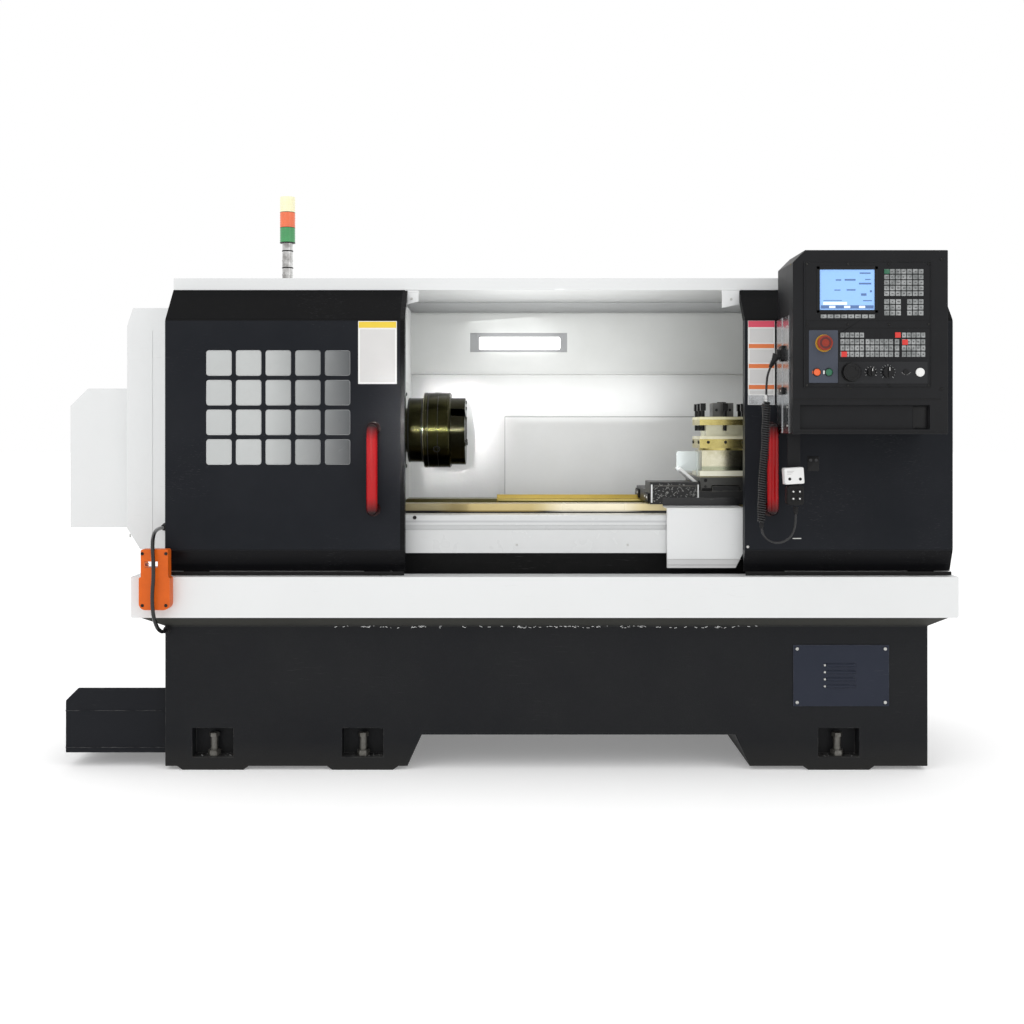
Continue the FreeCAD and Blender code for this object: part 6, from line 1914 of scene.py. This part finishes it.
    def pointers(self) -> None:
        """The pointer on each knob, the jog wheel's grip and the stop's ring."""
        for body, x, face, long in (("feed_knob", 1.084, -0.714, 0.011),
                                    ("speed_knob", 1.134, -0.714, 0.015)):
            made = Maker(f"{body}_pointer", (KNOB_BLACK, PRINT_WHITE))
            made.block((x - 0.0032, face - 0.0045, 1.231 - long),
                       (x + 0.0032, face + 0.002, 1.231 + long), 0.0012, 0)
            made.block((x - 0.0008, face - 0.0049, 1.231 + long * 0.25),
                       (x + 0.0008, face - 0.0042, 1.231 + long * 0.92), 0.0002, 1)
            made.place(body, "knob_black")
        wheel = Maker("jog_grip", (KNOB_BLACK,))
        wheel.turned((1.026, self.controls, 1.231), FRONT, [
            (0.0, 0.0165), (0.0, 0.0215), (0.0010, 0.0210), (0.0010, 0.0170)], 0, 56,
            ring_shaped=True)
        wheel.turned((1.038, self.controls, 1.241), FRONT, [(0.0, 0.0052), (0.0016, 0.0048),
                                                     (0.0022, 0.0)], 0, 24)
        wheel.place("jog_wheel", "knob_black")
        stop = Maker("stop_marks", (STOP_RED, DARK_RED))
        stop.turned((0.947, self.controls, 1.316), FRONT, [
            (0.0, 0.0110), (0.0, 0.0170), (0.0008, 0.0164), (0.0008, 0.0116)], 1, 44,
            ring_shaped=True)
        stop.turned((0.947, self.controls, 1.316), FRONT, [(0.0, 0.0060), (0.0010, 0.0052),
                                                    (0.0014, 0.0)], 0, 28)
        stop.place("emergency_stop", "stop_red")

    def case_details(self) -> None:
        """The case's screws, its seams, the drawer front and the divider strip."""
        made = Maker("console_details", (CONSOLE_COAT, BLACK_SCREW, RUBBER, PANEL_FILM,
                                         KNOB_BLACK))
        for x in (0.897, 1.017, 1.137, 1.253):
            for z in (1.548, 1.371, 1.193):
                made.screw((x, self.bezel, z), FRONT, 0.0038, 1)
        for x, z in ((1.292, 1.562), (1.292, 1.182)):
            made.screw((x, self.front, z), FRONT, 0.0045, 1)
        made.block((0.892, self.bezel - 0.0006, 1.3595), (1.258, self.bezel, 1.3610), 0.0003, 2)
        made.block((0.892, self.bezel - 0.0006, 1.3815), (1.258, self.bezel, 1.3825), 0.0003, 2)
        made.block((0.8895, self.bezel - 0.0022, 1.186), (0.8925, self.bezel + 0.002, 1.555),
                   0.0008, 3)
        made.block((1.258, self.bezel - 0.0004, 1.186), (1.2605, self.bezel + 0.002, 1.555),
                   0.0008, 0)
        made.block((0.858, self.front - 0.0007, 1.1500), (1.290, self.front, 1.1545), 0.0003, 2)
        made.block((0.860, self.front - 0.0007, 1.0560), (1.300, self.front, 1.0572), 0.0003, 2)
        recess = self.front + 0.014
        made.plate(rounded((1.212, 1.256), (1.066, 1.133), 0.006), "XZ", recess - 0.0012,
                   recess, 4, 0.0005)
        for row in range(10):
            z = 1.14 + 0.024 * row
            made.turned((0.96, -0.4825, z), RIGHT, [(0.0, 0.0), (0.005, 0.0045),
                                                    (0.235, 0.0045), (0.240, 0.0)], 0, 12)
        made.place("machine", "console_paint")

    def clamps(self) -> None:
        """Black clamps that hold the cords to the side profile, and its end caps."""
        made = Maker("profile_clamps", (KNOB_BLACK, ZINC))
        for z in (1.180, 1.305):
            made.block((0.8435, -0.602, z - 0.011), (0.8530, -0.554, z + 0.011), 0.002, 0)
            made.screw((0.8435, -0.590, z), LEFT, 0.0035, 1)
        for z in (1.075, 1.13, 1.24, 1.37):
            made.screw((0.8530, -0.636, z), LEFT, 0.0030, 1)
        made.place("machine", "profile_aluminium")


@dataclass
class Fittings:
    """The pendant, the signal lamp and the hook with its cable."""

    def build(self) -> None:
        """Dresses the small fittings and adds their details."""
        dress({"beacon_pole": CHROME, "beacon_lenses": LENSES}, 0.0008)
        dress({"cable_hook": HOOK_ORANGE, "cord_gland": NYLON}, 0.0015)
        dress({"pendant_body": PENDANT_WHITE}, 0.0020)
        self.pendant()
        self.beacon()
        self.hook()

    def pendant(self) -> None:
        """The pale head over the black block, with studs and marks."""
        made = Maker("pendant_shell", (PENDANT_WHITE, RUBBER, PRINT_GREY, PLATED, KNOB_BLACK))
        turn = Matrix.Translation((0.874, 0.0, 0.926)) @ Matrix.Rotation(
            math.radians(-3.5), 4, "Y") @ Matrix.Translation((-0.874, 0.0, -0.926))
        made.plate(rounded((0.8445, 0.9025), (0.9015, 0.9505), 0.004), "XZ", -0.6410, -0.6040,
                   0, 0.0020, turn)
        for x in (0.8595, 0.8910):
            made.turned((x, -0.6408, 0.9165), FRONT, [(0.0, 0.0046), (0.0012, 0.0040),
                                                      (0.0016, 0.0)], 1, 20)
        for number in range(3):
            made.tile((0.852, 0.872 - 0.004 * number), (0.9390 - 0.0042 * number,
                                                        0.9402 - 0.0042 * number),
                      -0.6408, 2, 0.0004)
        made.plate(rounded((0.8535, 0.9020), (0.8385, 0.8975), 0.009), "XZ", -0.6420, -0.6010,
                   1, 0.0030)
        for x in (0.8695, 0.8885):
            for z in (0.8585, 0.8795):
                made.turned((x, -0.6420, z), FRONT, [(0.0, 0.0068), (0.0024, 0.0060),
                                                     (0.0024, 0.0042), (0.0034, 0.0034),
                                                     (0.0034, 0.0)], 4, 24)
                made.turned((x, -0.6450, z), FRONT, [(0.0, 0.0034), (0.0012, 0.0026),
                                                     (0.0014, 0.0)], 3, 20)
        made.place("machine", "pendant_plastic")
        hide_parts("pendant_body")

    def beacon(self) -> None:
        """Dark rings between the tiers, the cap and bands on the pole."""
        made = Maker("beacon_rings", (KNOB_BLACK, CHROME, LENSES))
        at = (-0.699, -0.250, 0.0)
        for z, radius, high, paint in ((1.6725, 0.0250, 0.0030, 0), (1.7220, 0.0249, 0.0018, 0),
                                       (1.7720, 0.0249, 0.0018, 0), (1.6450, 0.0182, 0.0040, 0),
                                       (1.6130, 0.0180, 0.0050, 1), (1.5900, 0.0182, 0.0040, 0),
                                       (1.5660, 0.0180, 0.0050, 1)):
            made.turned(at, UP, [(z, 0.0130), (z, radius - 0.0004), (z + 0.0004, radius),
                                 (z + high - 0.0004, radius), (z + high, radius - 0.0004),
                                 (z + high, 0.0130)], paint, 40, ring_shaped=True)
        for tier in range(3):
            for rib in range(5):
                z = 1.6800 + 0.050 * tier + 0.0080 * rib
                made.turned(at, UP, [(z, 0.0235), (z, 0.0249), (z + 0.0020, 0.0249),
                                     (z + 0.0020, 0.0235)], 2, 40, ring_shaped=True)
        made.place("machine", "beacon_plastic")

    def hook(self) -> None:
        """A rim in the hook's slot, and the screws in its corners."""
        made = Maker("hook_trim", (PRINT_ORANGE, BLACK_SCREW))
        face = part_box("cable_hook")[0].y
        made.turned((-1.0785, face, 0.6520), FRONT, [(0.0, 0.0055), (0.0, 0.0080),
                                                     (0.0012, 0.0075), (0.0012, 0.0058)], 0,
                    28, ring_shaped=True)
        for z in (0.5270, 0.6850):
            for x in (-1.0920, -1.0200):
                made.screw((x, face, z), FRONT, 0.0050, 1)
        made.place("machine", "hook_orange")


# ------------------------------------------------------------------ the whole machine

def report_size() -> None:
    """Works out the box round the finished model's shown pieces."""
    low = Vector((FAR, FAR, FAR))
    high = -low
    graph = bpy.context.evaluated_depsgraph_get()
    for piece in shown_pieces():
        shown = piece.evaluated_get(graph)
        mesh = shown.to_mesh()
        for vertex in mesh.vertices:
            spot = piece.matrix_world @ vertex.co
            low = Vector(map(min, low, spot))
            high = Vector(map(max, high, spot))
        shown.to_mesh_clear()


def main() -> None:
    """Builds the studio and then each sub-assembly in order."""
    logging.basicConfig(level=logging.INFO, format="%(message)s")
    for part in (Studio(), Base(), Canopy(), Spindle(), Carriage(), Doors(), Console(),
                 Fittings(), Cords()):
        LOG.info("building %s", type(part).__name__)
        part.build()
    report_size()


if __name__ == "__main__":
    main()
